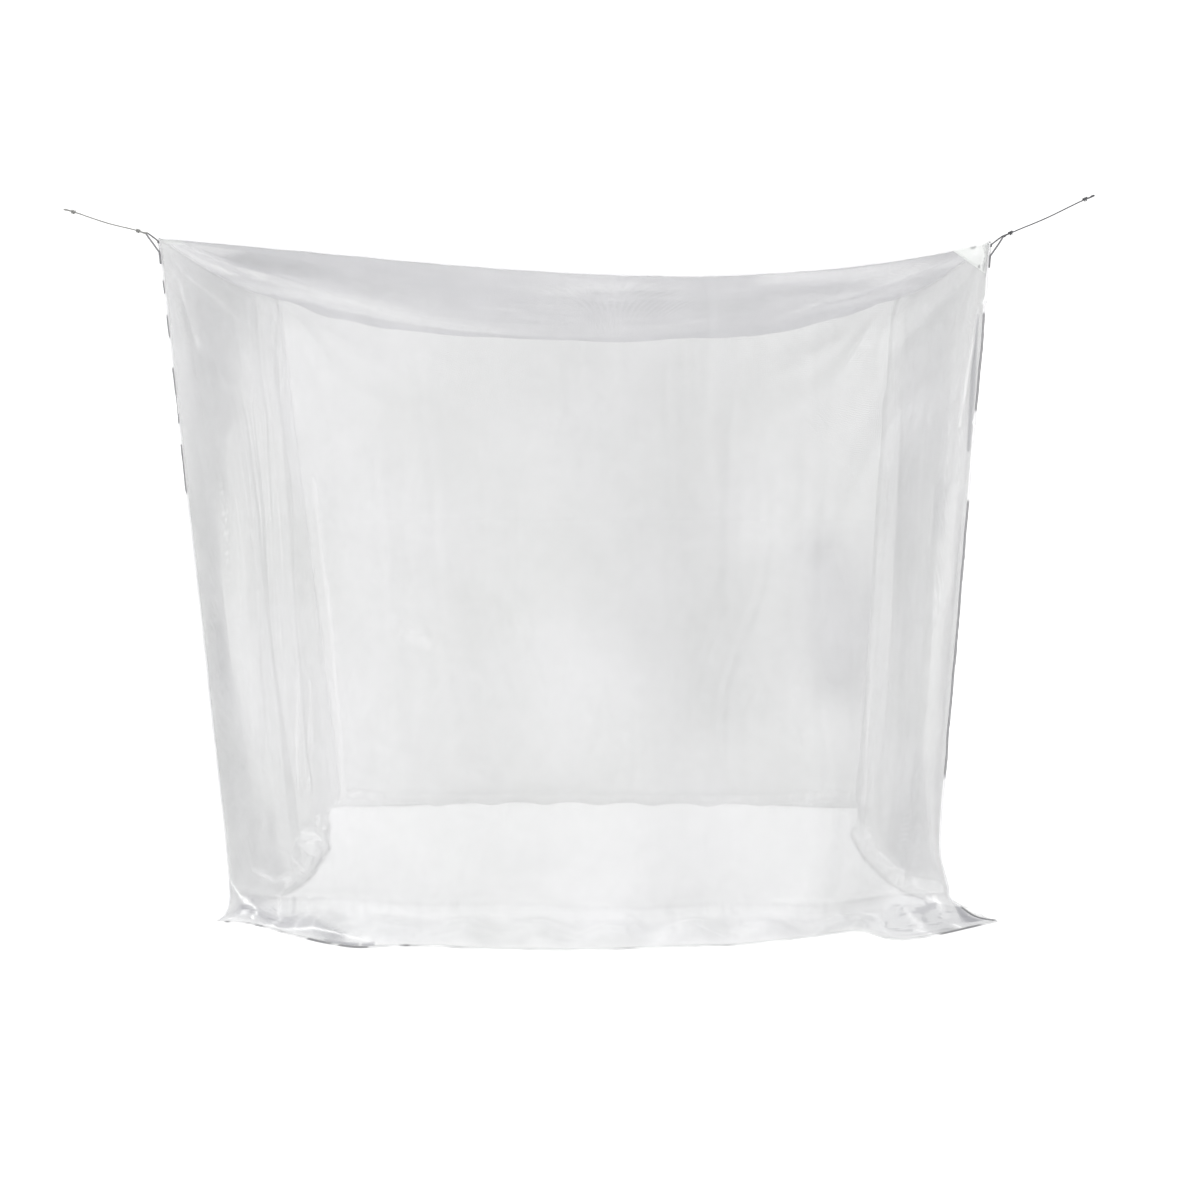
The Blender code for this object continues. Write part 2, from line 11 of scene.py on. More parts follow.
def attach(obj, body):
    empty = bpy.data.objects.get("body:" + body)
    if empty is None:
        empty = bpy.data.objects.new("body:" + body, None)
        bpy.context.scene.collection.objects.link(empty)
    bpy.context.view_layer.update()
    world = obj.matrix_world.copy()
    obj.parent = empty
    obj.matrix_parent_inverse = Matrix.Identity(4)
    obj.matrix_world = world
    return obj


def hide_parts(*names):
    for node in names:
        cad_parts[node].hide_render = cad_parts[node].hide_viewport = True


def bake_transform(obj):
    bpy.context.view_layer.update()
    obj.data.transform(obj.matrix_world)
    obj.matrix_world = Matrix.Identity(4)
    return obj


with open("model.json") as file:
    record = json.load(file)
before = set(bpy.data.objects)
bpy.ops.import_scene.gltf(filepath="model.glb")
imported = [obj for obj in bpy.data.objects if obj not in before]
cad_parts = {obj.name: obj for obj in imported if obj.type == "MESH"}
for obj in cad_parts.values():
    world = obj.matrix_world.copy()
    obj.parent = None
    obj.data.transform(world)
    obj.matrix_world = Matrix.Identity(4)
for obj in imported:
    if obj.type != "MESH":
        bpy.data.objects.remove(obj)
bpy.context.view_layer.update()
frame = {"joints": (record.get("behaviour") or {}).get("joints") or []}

# The net as it hangs, as in the part's source

# Sag of each roof edge, and how far its lowest place leans to the edge's second corner
SAG = {"front": (0.080, 3.0), "right": (0.040, 0.0), "back": (0.136, 0.0), "left": (0.040, 0.0)}
EDGE_PULL = 0.030
ROOF_SAG = 0.030
PLEAT = 0.016
PLEAT_FROM_CORNER = 0.28
PLEAT_FROM_EDGE = 0.12
PLEATS = 3
# Where the walls' corners meet the floor, in from the roof's corners, and from there out to the hem's
FALL_INSET = {
    "front_left": (0.123, 0.138),
    "front_right": (0.097, 0.100),
    "back_right": (0.100, -0.050),
    "back_left": (0.180, -0.050),
}
CORNER_RUN = {
    "front_left": (0.020, 0.070),
    "front_right": (0.155, 0.010),
    "back_right": (0.050, 0.080),
    "back_left": (0.050, 0.080),
}
# By share along a side, how far out its wall meets the floor, and how far its hem lies from there
FALL_BOW = {
    "front": ((0.10, 0.045), (0.25, 0.080), (0.50, 0.105), (0.75, 0.080), (0.90, 0.040)),
    "right": ((0.30, -0.010), (0.70, -0.012)),
    "back": ((0.30, 0.010), (0.70, 0.010)),
    "left": ((0.29, 0.045), (0.45, 0.010), (0.62, -0.035), (0.84, -0.045)),
}
HEM_REACH = {
    "front": (
        (0.04, 0.075),
        (0.12, 0.165),
        (0.20, 0.235),
        (0.27, 0.205),
        (0.40, 0.215),
        (0.52, 0.205),
        (0.62, 0.180),
        (0.72, 0.165),
        (0.82, 0.105),
        (0.89, 0.075),
        (0.945, 0.170),
    ),
    "right": (
        (0.10, 0.060), (0.20, -0.020), (0.40, -0.055), (0.60, -0.060), (0.80, -0.045), (0.92, 0.012),
    ),
    "back": ((0.10, 0.100), (0.25, 0.150), (0.50, 0.165), (0.75, 0.150), (0.90, 0.100)),
    "left": (
        (0.08, 0.012), (0.20, -0.055), (0.40, -0.100), (0.60, -0.070), (0.80, -0.055), (0.93, -0.012),
    ),
}
# Folds, as shares along a side at the roof and at the floor, their width, and how far they push out
FOLDS = {
    "front": (
        (0.00, 0.07, 0.22, 0.022),
        (0.06, 0.17, 0.20, -0.018),
        (0.24, 0.29, 0.30, 0.016),
        (0.40, 0.42, 0.26, -0.016),
        (0.57, 0.56, 0.30, 0.018),
        (0.72, 0.70, 0.24, -0.014),
        (0.88, 0.83, 0.20, 0.020),
        (0.99, 0.93, 0.18, -0.022),
    ),
    "right": (
        (0.04, 0.10, 0.14, 0.026),
        (0.12, 0.20, 0.12, -0.022),
        (0.22, 0.30, 0.16, 0.018),
        (0.50, 0.46, 0.18, -0.016),
        (0.74, 0.68, 0.16, 0.020),
        (0.90, 0.86, 0.14, -0.020),
    ),
    "back": (
        (0.06, 0.10, 0.30, 0.020),
        (0.34, 0.32, 0.34, -0.018),
        (0.62, 0.64, 0.34, 0.016),
        (0.92, 0.90, 0.30, -0.018),
    ),
    "left": (
        (0.07, 0.14, 0.15, 0.022),
        (0.20, 0.25, 0.14, -0.020),
        (0.42, 0.40, 0.18, 0.018),
        (0.66, 0.60, 0.18, -0.018),
        (0.86, 0.80, 0.15, 0.022),
        (0.97, 0.92, 0.12, -0.020),
    ),
}
FOLD_GROWTH = 0.35
FOLD_FROM_SEAM = 0.16
HANG_ROWS = (0.0, 0.12, 0.30, 0.50, 0.70, 0.88, 1.0)
FLOOR_ROWS = (0.10, 0.36, 0.70, 1.0)
FLOOR_LIFTS = (0.018, 0.004, 0.001, 0.0)
KNEE = 0.050
RIPPLE = 0.020
RIPPLE_SLOPE = 0.35
RIPPLE_PITCH = 0.21
ON_HEM = 0.0026
FLAT = 0.0048
LOOP_REACH = 0.030
LOOP_RISE = 0.012
UPPER_LEG = (-0.007, -0.013)
LOWER_LEG = (-0.034, -0.062)
LOOP_SEAT = 0.0033
LOOP_TURN = {"front_left": -10.0, "front_right": 14.0, "back_right": 0.0, "back_left": 0.0}
RIBBON_WIDTH = 0.010
RIBBON = 0.001
CORD = 0.0015
CORD_RISE = {"front_left": math.radians(11.5), "front_right": math.radians(20.0)}
# Each cord from its tie to its eye, outwards, across and up
CORD_ROUTE = {
    "front_left": (
        (0.0, 0.0, 0.0),
        (0.018, 0.0, 0.0),
        (0.038, 0.0006, -0.0010),
        (0.058, 0.0012, -0.0022),
        (0.078, 0.0014, -0.0030),
        (0.098, 0.0010, -0.0028),
        (0.118, 0.0004, -0.0020),
        (0.138, 0.0, -0.0010),
        (0.154, 0.0, 0.0),
        (0.178, 0.0, 0.0),
    ),
    "front_right": (
        (0.0, 0.0, 0.0),
        (0.018, 0.0, 0.0),
        (0.043, -0.0004, -0.0008),
        (0.068, -0.0010, -0.0020),
        (0.093, -0.0012, -0.0026),
        (0.118, -0.0010, -0.0024),
        (0.143, -0.0004, -0.0014),
        (0.168, 0.0, -0.0004),
        (0.184, 0.0, 0.0),
        (0.208, 0.0, 0.0),
    ),
}
BIGHT = 8 * CORD
TIE_HALF = RIBBON_WIDTH / 2 + 0.0005 + CORD
EYE_HALF = 0.0033 + CORD
WRAP_START = BIGHT + 3 * CORD
WRAP_TURNS = 2.5
WRAP_PITCH = 2 * CORD + 0.0008
WRAP_GAP = 0.00045

# Detail that only shows here
CLOTH = 0.0006
DROP = 1.64  # of a wall from the roof to its knee, along the cloth
RUN = 0.15  # and of the cloth on the floor, where the rows are measured
HANG_STEPS = 142
FLOOR_STEPS = 44
COLUMNS = {"front": 264, "right": 256, "back": 250, "left": 256}
ROOF_COLUMNS = 250
ROOF_ROWS = 188
MESH_PITCH = 0.0014
SEAM_STEP = 0.002
HEM_STEP = 0.003
CORD_STEP = 0.0008
CORD_SIDES = 18
CORD_LAY = 0.009  # length of one turn of its strands
PATCH_REACH = 0.062
PATCH_CLOTH = 0.0009
PATCH_BELOW = 0.0016  # how far a patch lies under the roof
PATCH_FOLD = 0.0030
FLAP_FROM_SEAM = 0.006  # how far from its corner a patch's turned-down piece begins
FLAP_OFF = 0.0022  # how far it stands off the wall
FLAP_FOLD = 0.0045
LOWER_MIDDLE = (LOWER_LEG[0] + LOWER_LEG[1]) / 2
TACKS = (LOWER_MIDDLE + 0.010, LOWER_MIDDLE - 0.009, UPPER_LEG[1] + 0.003)  # along a loop's seam
PUCKER_PITCH = 0.0062  # of the stitches that draw a seam in
HEM_MIDDLE = 0.0012  # height of the middle of the hem tape where it lies on the floor
RIBBON_PINCH = 0.16  # how much narrower a ribbon is at its bend
RIBBON_CURL = 0.0006
RIBBON_WAVE = 0.0004
CLEAR = 0.0003  # between a cord and its ribbon
THREAD_KNOTS = {"front_right": (0.14, 0.43)}  # down a corner seam, where its thread is knotted
# How far in the front seams' tape is darkened with painted shade, from its middle, and over which
# stretches down it
SHADED_TAPE = {
    "front_left": (0.0016, ((0.09, 0.13), (0.18, 0.24), (0.30, 0.45), (0.50, 0.62))),
    "front_right": (-0.0010, ((0.16, 0.41), (0.62, 1.32), (1.65, 1.76))),
}
SHADED_HEM = ((0.01, 0.03), (0.26, 0.33), (0.36, 0.45), (0.52, 0.55), (1.93, 1.98))  # stretches of the front hem darkened with painted shade
TURNED_DOWN = {"front_right": (0.085, 0.075)}  # legs of a corner patch's piece over the front wall
FLARE = {"front_left": 0.010, "front_right": 0.036, "back_right": 0.015, "back_left": 0.015}
FLARE_REACH = 0.20  # how far from its corner a wall leans out by its flare
HEM_WAVE = 0.0022  # how far the hem stands off the floor at most
HEM_WAVE_PITCH = 0.09
FAN_REACH = 0.30  # where the small folds that fan out from a wall's upper corners are deepest
FAN_DEPTH = 0.0075
FAN_FOLDS = 11
CREASED_FROM, CREASED_OVER = 1.15, 0.40  # where the creases of a wall's lower part set in
CRUMPLED_ENDS = 0.22  # how far from a seam the cloth on the floor is more crumpled
CRUMPLE_HEIGHT, CRUMPLE_FINE = 0.017, 0.005  # of the broad and the fine creases there
HEAP_EDGE = 0.014
SEAM_BORDER, TOP_BORDER, HEM_BORDER = 0.045, 0.07, 0.02  # where a wall is sewn and lies flat

# Marks on the panels, as painted highlight, gathered cloth with painted shade, and height in metres,
# how sharp their border is, and then points with half widths. A wall's points are metres along it from
# its first corner and down the cloth, and the roof's are metres from the left and from the front.
STREAK = 2  # sharpness of a mark that wavers as a streak does
BROAD = 3  # sharpness above which a mark changes a whole area of cloth
LIT = (1.0, -0.3, 0.0030, STREAK)
FAINTLY_LIT = (0.65, -0.2, 0.0020, STREAK)
# THIN_AND_LIT marks thin the cloth and add a painted highlight, as bright fold lines.
THIN_AND_LIT = (0.6, -3.4, 0.0020, STREAK)
# DARK and DARKEST are painted shade: dark lines and spots of shadow in folds, by seams and along hems.
DARK = (0.0, 1.0, -0.0025, STREAK)
DARKEST = (0.0, 2.2, -0.0025, 3)
THINNEST, DENSEST = -3.5, 2.2  # limits of how gathered the cloth is and how much painted shade it has, where 0 is plain
MARKS = {
    "left": (
        ((0.0, -1.4, 0.0, 6), (
            (0.66, 0.55, 0.42), (0.70, 0.70, 0.50), (0.72, 1.00, 0.50), (0.70, 1.30, 0.48),
        )),
        ((0.1, -0.9, 0.0020, 4), (
            (1.05, 0.48, 0.06), (1.12, 0.76, 0.07), (1.17, 1.02, 0.07), (1.14, 1.20, 0.05),
        )),
        ((0.0, 1.10, 0.0, 6), (
            (0.98, 0.08, 0.46), (1.03, 0.22, 0.40), (1.13, 0.35, 0.32), (1.27, 0.44, 0.18),
            (1.34, 0.63, 0.14), (1.37, 0.86, 0.12), (1.35, 1.14, 0.15), (1.34, 1.42, 0.16),
            (1.29, 1.62, 0.21),
        )),
        (LIT, ((1.41, 0.08, 0.010), (1.36, 0.13, 0.010), (1.25, 0.22, 0.010))),
        (FAINTLY_LIT, (
            (1.22, 0.88, 0.010), (1.24, 1.03, 0.010), (1.26, 1.16, 0.010), (1.35, 1.22, 0.010),
        )),
        (FAINTLY_LIT, ((1.14, 1.17, 0.010), (1.17, 1.31, 0.010))),
        (FAINTLY_LIT, ((1.18, 1.48, 0.010), (1.19, 1.58, 0.010))),
        (THIN_AND_LIT, ((0.38, 1.20, 0.010), (0.46, 1.51, 0.010))),
        (THIN_AND_LIT, ((0.13, 1.24, 0.010), (0.17, 1.42, 0.010), (0.35, 1.53, 0.010))),
        (FAINTLY_LIT, ((1.12, 1.59, 0.006), (1.00, 1.63, 0.006))),
        (DARK, ((0.40, 1.65, 0.006), (0.30, 1.69, 0.006))),
        (DARK, ((0.82, 1.64, 0.005), (0.55, 1.68, 0.005))),
        (DARKEST, ((0.74, 1.766, 0.004), (0.82, 1.782, 0.004), (0.94, 1.785, 0.004))),
        (DARK, ((1.16, 1.750, 0.008), (1.25, 1.765, 0.008))),
        (DARK, ((1.43, 0.95, 0.022), (1.41, 0.99, 0.022), (1.42, 1.05, 0.022), (1.41, 1.12, 0.022))),
    ),
    "right": (
        ((0.0, 0.60, 0.0, 5), (
            (0.64, 0.06, 0.51), (0.64, 0.34, 0.50), (0.57, 0.62, 0.38), (0.70, 0.80, 0.35),
            (0.58, 0.90, 0.28), (0.52, 1.18, 0.16), (0.43, 1.37, 0.20), (0.47, 1.46, 0.25),
            (0.66, 1.58, 0.45),
        )),
        ((0.25, -1.2, 0.0, 5), (
            (1.21, 0.82, 0.12), (1.12, 1.10, 0.30), (1.04, 1.25, 0.34), (0.93, 1.45, 0.29),
            (1.08, 1.57, 0.13),
        )),
        ((0.0, 0.6, 0.0, 4), ((0.22, 1.42, 0.16), (0.38, 1.58, 0.20))),
        (THIN_AND_LIT, ((1.26, 1.25, 0.010), (1.23, 1.43, 0.010), (1.21, 1.60, 0.010))),
        (DARKEST, ((0.15, 1.785, 0.004), (0.33, 1.783, 0.004))),
        (DARK, ((0.33, 1.783, 0.004), (0.44, 1.770, 0.005), (0.60, 1.745, 0.005))),
        (LIT, ((0.62, 1.710, 0.005), (0.54, 1.680, 0.005), (0.40, 1.655, 0.004))),
        (DARK, ((0.21, 0.59, 0.030), (0.20, 0.70, 0.030))),
        (DARK, ((0.42, 0.78, 0.035), (0.43, 0.92, 0.035))),
    ),
    "front": (
        (LIT, (
            (1.985, 0.17, 0.004), (1.980, 0.24, 0.004), (1.972, 0.32, 0.005), (1.968, 0.38, 0.005),
            (1.963, 0.44, 0.004),
        )),
        ((0.30, 0.15, 0.0060, 3), (
            (1.966, 0.60, 0.014), (1.963, 0.72, 0.015), (1.967, 0.82, 0.018), (1.956, 0.92, 0.015),
            (1.952, 1.07, 0.018), (1.959, 1.22, 0.022), (1.963, 1.33, 0.015), (1.982, 1.45, 0.010),
            (1.988, 1.56, 0.010),
        )),
        (DARKEST, (
            (1.986, 0.18, 0.005), (1.985, 0.24, 0.007), (1.988, 0.34, 0.009), (1.991, 0.50, 0.005),
        )),
        (DARK, (
            (1.993, 0.66, 0.006), (1.989, 0.90, 0.010), (1.985, 1.12, 0.012), (1.990, 1.22, 0.005),
        )),
        (FAINTLY_LIT, ((1.94, 1.645, 0.006), (1.96, 1.655, 0.006), (1.955, 1.72, 0.006))),
        (DARKEST, ((1.992, 1.680, 0.004), (1.986, 1.730, 0.009), (1.984, 1.758, 0.013))),
        (DARK, (
            (1.873, 1.756, 0.003), (1.898, 1.761, 0.003), (1.900, 1.778, 0.003), (1.856, 1.784, 0.003),
        )),
        (DARK, ((1.906, 1.780, 0.003), (1.922, 1.780, 0.003))),
        (LIT, ((1.955, 1.765, 0.003), (1.959, 1.787, 0.003))),
        (LIT, ((1.912, 1.772, 0.003), (1.924, 1.788, 0.003))),
        (DARK, ((1.924, 1.784, 0.006), (1.936, 1.782, 0.006))),
        (DARK, ((1.943, 1.780, 0.005), (1.950, 1.785, 0.005))),
        ((0.0, 0.8, 0.0, 3), ((0.06, 1.69, 0.05), (0.16, 1.73, 0.05), (0.34, 1.76, 0.03))),
        (DARK, ((0.040, 1.663, 0.008), (0.064, 1.720, 0.010))),
        (LIT, (
            (0.11, 1.783, 0.004), (0.20, 1.775, 0.004), (0.29, 1.757, 0.004), (0.36, 1.742, 0.004),
            (0.44, 1.776, 0.004),
        )),
        (DARK, ((0.327, 1.761, 0.003), (0.361, 1.731, 0.003))),
        (DARKEST, ((0.320, 1.784, 0.003), (0.377, 1.782, 0.003))),
        (DARKEST, ((0.372, 1.784, 0.005), (0.408, 1.784, 0.005))),
        (DARKEST, ((0.428, 1.784, 0.004), (0.450, 1.784, 0.005))),
        (FAINTLY_LIT, ((0.08, 1.57, 0.008), (0.14, 1.59, 0.008), (0.19, 1.58, 0.008))),
        (LIT, (
            (0.000, 1.558, 0.004), (0.003, 1.600, 0.004), (0.032, 1.643, 0.004), (0.049, 1.648, 0.004),
        )),
        (LIT, (
            (0.049, 1.648, 0.004), (0.078, 1.658, 0.004), (0.087, 1.697, 0.004), (0.078, 1.766, 0.004),
        )),
    ),
    "back": (
        ((0.2, -0.7, 0.0, 3), ((1.74, 0.90, 0.18), (1.68, 1.10, 0.26), (1.70, 1.32, 0.24))),
        ((0.0, 0.45, 0.0, 3), ((0.90, 0.22, 0.30), (0.75, 0.90, 0.32), (0.55, 1.15, 0.30))),
        ((0.0, 1.20, 0.0, 2.4), ((0.17, 0.83, 0.10), (0.12, 1.00, 0.14), (0.10, 1.22, 0.11))),
        ((0.15, -0.4, 0.0, 5), (
            (1.82, 0.03, 0.19), (1.73, 0.35, 0.27), (1.78, 0.80, 0.21), (1.67, 1.07, 0.33),
        )),
        (LIT, ((1.66, 1.07, 0.030), (1.62, 1.10, 0.030))),
        (THIN_AND_LIT, ((1.957, 0.58, 0.009), (1.956, 1.08, 0.010), (1.985, 1.66, 0.009))),
    ),
    "roof": (
        ((0.0, -1.4, 0.0, 4), ((0.06, 0.30, 0.10), (0.20, 0.42, 0.12), (0.38, 0.62, 0.12))),
        ((0.0, -1.8, 0.0, 3), ((0.15, 0.72, 0.16), (0.36, 0.74, 0.26), (0.62, 0.78, 0.22))),
        (THIN_AND_LIT, ((0.01, 0.02, 0.012), (0.05, 0.05, 0.014), (0.12, 0.07, 0.016), (0.17, 0.08, 0.012))),
        (THIN_AND_LIT, ((0.01, 0.03, 0.014), (0.06, 0.09, 0.018), (0.12, 0.14, 0.018))),
        (THIN_AND_LIT, ((0.01, 0.05, 0.014), (0.02, 0.25, 0.018), (0.03, 0.36, 0.018), (0.045, 0.49, 0.018))),
        (THIN_AND_LIT, ((0.05, 0.13, 0.018), (0.11, 0.255, 0.018), (0.14, 0.32, 0.018), (0.12, 0.495, 0.018))),
        (DARK, ((0.05, 0.05, 0.025), (0.13, 0.09, 0.030), (0.18, 0.12, 0.030))),
        (DARK, ((0.19, 0.13, 0.045), (0.24, 0.15, 0.050), (0.28, 0.18, 0.045))),
        ((0.0, 0.60, 0.0, 2), ((0.28, 0.18, 0.050), (0.43, 0.28, 0.060), (0.52, 0.33, 0.060))),
        (FAINTLY_LIT, ((1.02, 0.12, 0.030), (1.11, 0.12, 0.030))),
        (DARK, ((1.06, 0.16, 0.030), (1.22, 0.18, 0.030))),
        ((0.0, 0.70, 0.0, 2), ((1.04, 0.30, 0.070), (1.32, 0.31, 0.070), (1.48, 0.30, 0.060))),
        (DARK, ((1.52, 0.21, 0.035), (1.66, 0.22, 0.035), (1.83, 0.50, 0.035))),
        (FAINTLY_LIT, ((1.60, 0.47, 0.020), (1.63, 0.34, 0.020), (1.71, 0.24, 0.020))),
        (DARK, ((1.90, 0.36, 0.035), (1.99, 0.48, 0.035))),
        ((0.1, -2.0, 0.0, 3), (
            (1.50, 0.06, 0.050), (1.69, 0.10, 0.060), (1.82, 0.13, 0.060), (1.94, 0.20, 0.060),
        )),
    ),
}

# How the cloth's own folds differ from wall to wall: seed, streaks, billow and creases in metres,
# and how crumpled it lies on the floor in its middle and near its seams
RELIEF = {
    "front": (11, 0.0024, 0.006, 0.0012, 0.12, 0.6),
    "right": (23, 0.0080, 0.008, 0.0050, 0.35, 0.9),
    "back": (37, 0.0034, 0.010, 0.0030, 0.15, 0.6),
    "left": (41, 0.0080, 0.008, 0.0050, 1.0, 1.0),
}
# How high up each wall its heaped cloth begins, along it
HEAP = {
    "front": ((0.0, 0.02), (1.0, 0.02)),
    "right": (
        (0.0, 0.02),
        (0.14, 0.011),
        (0.31, -0.018),
        (0.41, -0.008),
        (0.48, -0.013),
        (0.67, -0.043),
        (1.0, -0.01),
    ),
    "back": ((0.0, 0.02), (1.0, 0.02)),
    "left": (
        (0.0, -0.01),
        (0.08, -0.013),
        (0.23, -0.047),
        (0.35, -0.023),
        (0.53, 0.02),
        (0.65, 0.036),
        (0.70, -0.05),
        (0.80, -0.08),
        (0.89, -0.12),
        (1.0, -0.14),
    ),
}
HEM_SEED = {"front": 71, "right": 73, "back": 79, "left": 83}

# The view and the light
CAMERA_PLACE = (0.0993, -5.1152, 1.112)
CAMERA_DOWN = 3.9  # degrees
CAMERA_LEFT = 0.7  # degrees
SENSOR = 36.0
LENS = 53.64
WORLD_LIGHT = 0.84
WORLD_SHOWN = 1.22

SIGNS = {"front_left": (-1, -1), "front_right": (1, -1), "back_right": (1, 1), "back_left": (-1, 1)}
SIDES = {
    "front": ("front_left", "front_right"),
    "right": ("front_right", "back_right"),
    "back": ("back_right", "back_left"),
    "left": ("back_left", "front_left"),
}
ROOF = {
    joint["name"].removeprefix("loop_swing_"): np.array(joint["pos_m"])
    for joint in frame["joints"]
    if joint["name"].startswith("loop_swing_")
}


# Numbers along lines and over surfaces


def ease(share):
    share = np.clip(share, 0.0, 1.0)
    return share * share * (3 - 2 * share)


def hump(off, width):
    """1 in the middle, and less the further off a place is."""
    return np.exp(-((off / width) ** 2))


def from_ends(share, length):
    """How far a place is from the nearer end of a side of that length."""
    return np.minimum(share, 1 - share) * length


def fan(one, other, reach):
    """Round a corner, by metres along its two edges: the angle from the second edge, how far out
    in reaches, and how strong folds are there that fan out from it and end on the edges."""
    far = np.hypot(one, other) / reach
    turn = np.arctan2(one, other)
    return turn, far, far * np.exp(1 - far) * np.sin(2 * turn)


def unit(ways):
    return ways / np.linalg.norm(ways, axis=-1, keepdims=True)


def run_along(line):
    """How far along a line each of its points is."""
    return np.concatenate(((0.0,), np.cumsum(np.linalg.norm(np.diff(line, axis=0), axis=1))))


def ring(sides):
    """Points round a circle of radius 1."""
    turns = np.linspace(0, 2 * math.pi, sides, endpoint=False)
    return np.column_stack((np.cos(turns), np.sin(turns)))


def through(knots, at):
    """The values at those places along knots of (place, value), on one smooth curve through them."""
    places = np.array([place for place, _ in knots], float)
    values = np.array([value for _, value in knots], float)
    at = np.asarray(at, float)
    order = np.arange(len(places))
    after, before = np.minimum(order + 1, order[-1]), np.maximum(order - 1, 0)
    flat = (-1, *[1] * (values.ndim - 1))
    slopes = (values[after] - values[before]) / (places[after] - places[before]).reshape(flat)
    k = np.clip(np.searchsorted(places, at, side="right") - 1, 0, order[-1] - 1)
    span = (places[k + 1] - places[k]).reshape(flat)
    t = ((at - places[k]).reshape(flat)) / span
    return (
        values[k] * (2 * t**3 - 3 * t**2 + 1)
        + slopes[k] * span * (t**3 - 2 * t**2 + t)
        + values[k + 1] * (3 * t**2 - 2 * t**3)
        + slopes[k + 1] * span * (t**3 - t**2)
    )


def noise(x, y, seed):
    """Smooth noise between -1 and 1 over a plane, with one bump to a unit."""
    table = np.random.default_rng(seed).uniform(-1, 1, (64, 64))
    x, y = np.broadcast_arrays(np.asarray(x, float), np.asarray(y, float))
    i, j = np.floor(x).astype(int), np.floor(y).astype(int)
    u, v = x - i, y - j
    u, v = u**3 * (u * (6 * u - 15) + 10), v**3 * (v * (6 * v - 15) + 10)
    i0, i1, j0, j1 = i % 64, (i + 1) % 64, j % 64, (j + 1) % 64
    low = table[i0, j0] * (1 - u) + table[i1, j0] * u
    high = table[i0, j1] * (1 - u) + table[i1, j1] * u
    return low * (1 - v) + high * v


def creases(x, y, seed, soft=0.08):
    """Noise with sharp crests, between 0 and 1, as cloth creases."""
    return 1 - np.sqrt(noise(x, y, seed) ** 2 + soft**2)


def stroke(x, y, line, sharp):
    """How strongly a line marks the places near it, from 0 to 1."""
    mark = 0.0
    for (x0, y0, width0), (x1, y1, width1) in zip(line, line[1:]):
        run_x, run_y = x1 - x0, y1 - y0
        share = np.clip(((x - x0) * run_x + (y - y0) * run_y) / (run_x**2 + run_y**2), 0, 1)
        off = np.hypot(x - x0 - share * run_x, y - y0 - share * run_y)
        mark = np.maximum(mark, np.exp(-((off / (width0 + (width1 - width0) * share)) ** sharp)))
    return mark


def broadly_gathered_and_shaded(panel, x, y):
    """How gathered the panel is, with its painted shade, by its broad marks alone."""
    broad = [(dense, sharp, line) for (_, dense, _, sharp), line in MARKS[panel] if sharp > BROAD]
    return sum(dense * stroke(x, y, line, sharp) for dense, sharp, line in broad)


def marks(panel, x, y):
    """The panel's marks over places on it: painted highlight, gathered cloth with painted shade, and
    height.
    """
    light, gathered_and_shaded, height = np.zeros((3, *np.broadcast(x, y).shape))
    waver = noise(x / 0.06, y / 0.06, 91)
    for (lit, dense, rise, sharp), line in MARKS[panel]:
        mark = stroke(x + waver * line[0][2] * (0.25 if sharp == STREAK else 0.05), y, line, sharp)
        if sharp == STREAK:
            mark = mark * (0.75 + 0.25 * noise(x / 0.03, y / 0.05, 92))
        light, gathered_and_shaded, height = light + lit * mark, gathered_and_shaded + dense * mark, height + rise * mark
    return np.clip(light, 0, 1), gathered_and_shaded, height


def outward(side):
    first, second = (ROOF[corner][:2] for corner in SIDES[side])
    way = unit(second - first)
    return np.array((way[1], -way[0]))


def side_length(side):
    first, second = (ROOF[corner] for corner in SIDES[side])
    return np.linalg.norm(second - first)


def fall_corner(corner):
    return ROOF[corner][:2] - np.array(SIGNS[corner]) * FALL_INSET[corner]


def edge_line(side, share):
    """Points on a roof edge as it hangs."""
    first, second = (ROOF[corner] for corner in SIDES[side])
    depth, lean = SAG[side]
    every = np.linspace(0, 1, 101)
    deepest = (every * (1 - every) * (1 + lean * every)).max()
    line = first + (second - first) * share[:, None]
    line[:, 2] -= depth * share * (1 - share) * (1 + lean * share) / deepest
    line[:, :2] -= outward(side) * (EDGE_PULL * 4 * share * (1 - share))[:, None]
    return line


def fall_line(side, share):
    """Where a wall meets the floor, in plan."""
    first, second = (fall_corner(corner) for corner in SIDES[side])
    bow = through(((0.0, 0.0), *FALL_BOW[side], (1.0, 0.0)), share)
    return first + (second - first) * share[:, None] + outward(side) * bow[:, None]


def hem_run(side, share):
    """From the fall line to the hem, in plan."""
    first, second = (np.array(SIGNS[corner]) * CORNER_RUN[corner] for corner in SIDES[side])
    inner = [(at, outward(side) * reach) for at, reach in HEM_REACH[side]]
    return through([(0.0, first), *inner, (1.0, second)], share)


def fold_depth(side, share, down):
    length = side_length(side)
    depth = np.zeros_like(share)
    for top, bottom, width, push in FOLDS[side]:
        off = (share - top - (bottom - top) * down) * length / width
        depth += push * np.exp(-4 * off * off)
    return depth * ease(down / FOLD_GROWTH) * ease(from_ends(share, length) / FOLD_FROM_SEAM)


def hem_lift(side, share):
    """How far the hem tape stands off the floor, along a side."""
    along = share * side_length(side)
    lift = HEM_WAVE * np.maximum(noise(along / HEM_WAVE_PITCH, 3.5, HEM_SEED[side]), 0)
    return lift * ease(from_ends(share, side_length(side)) / 0.05)


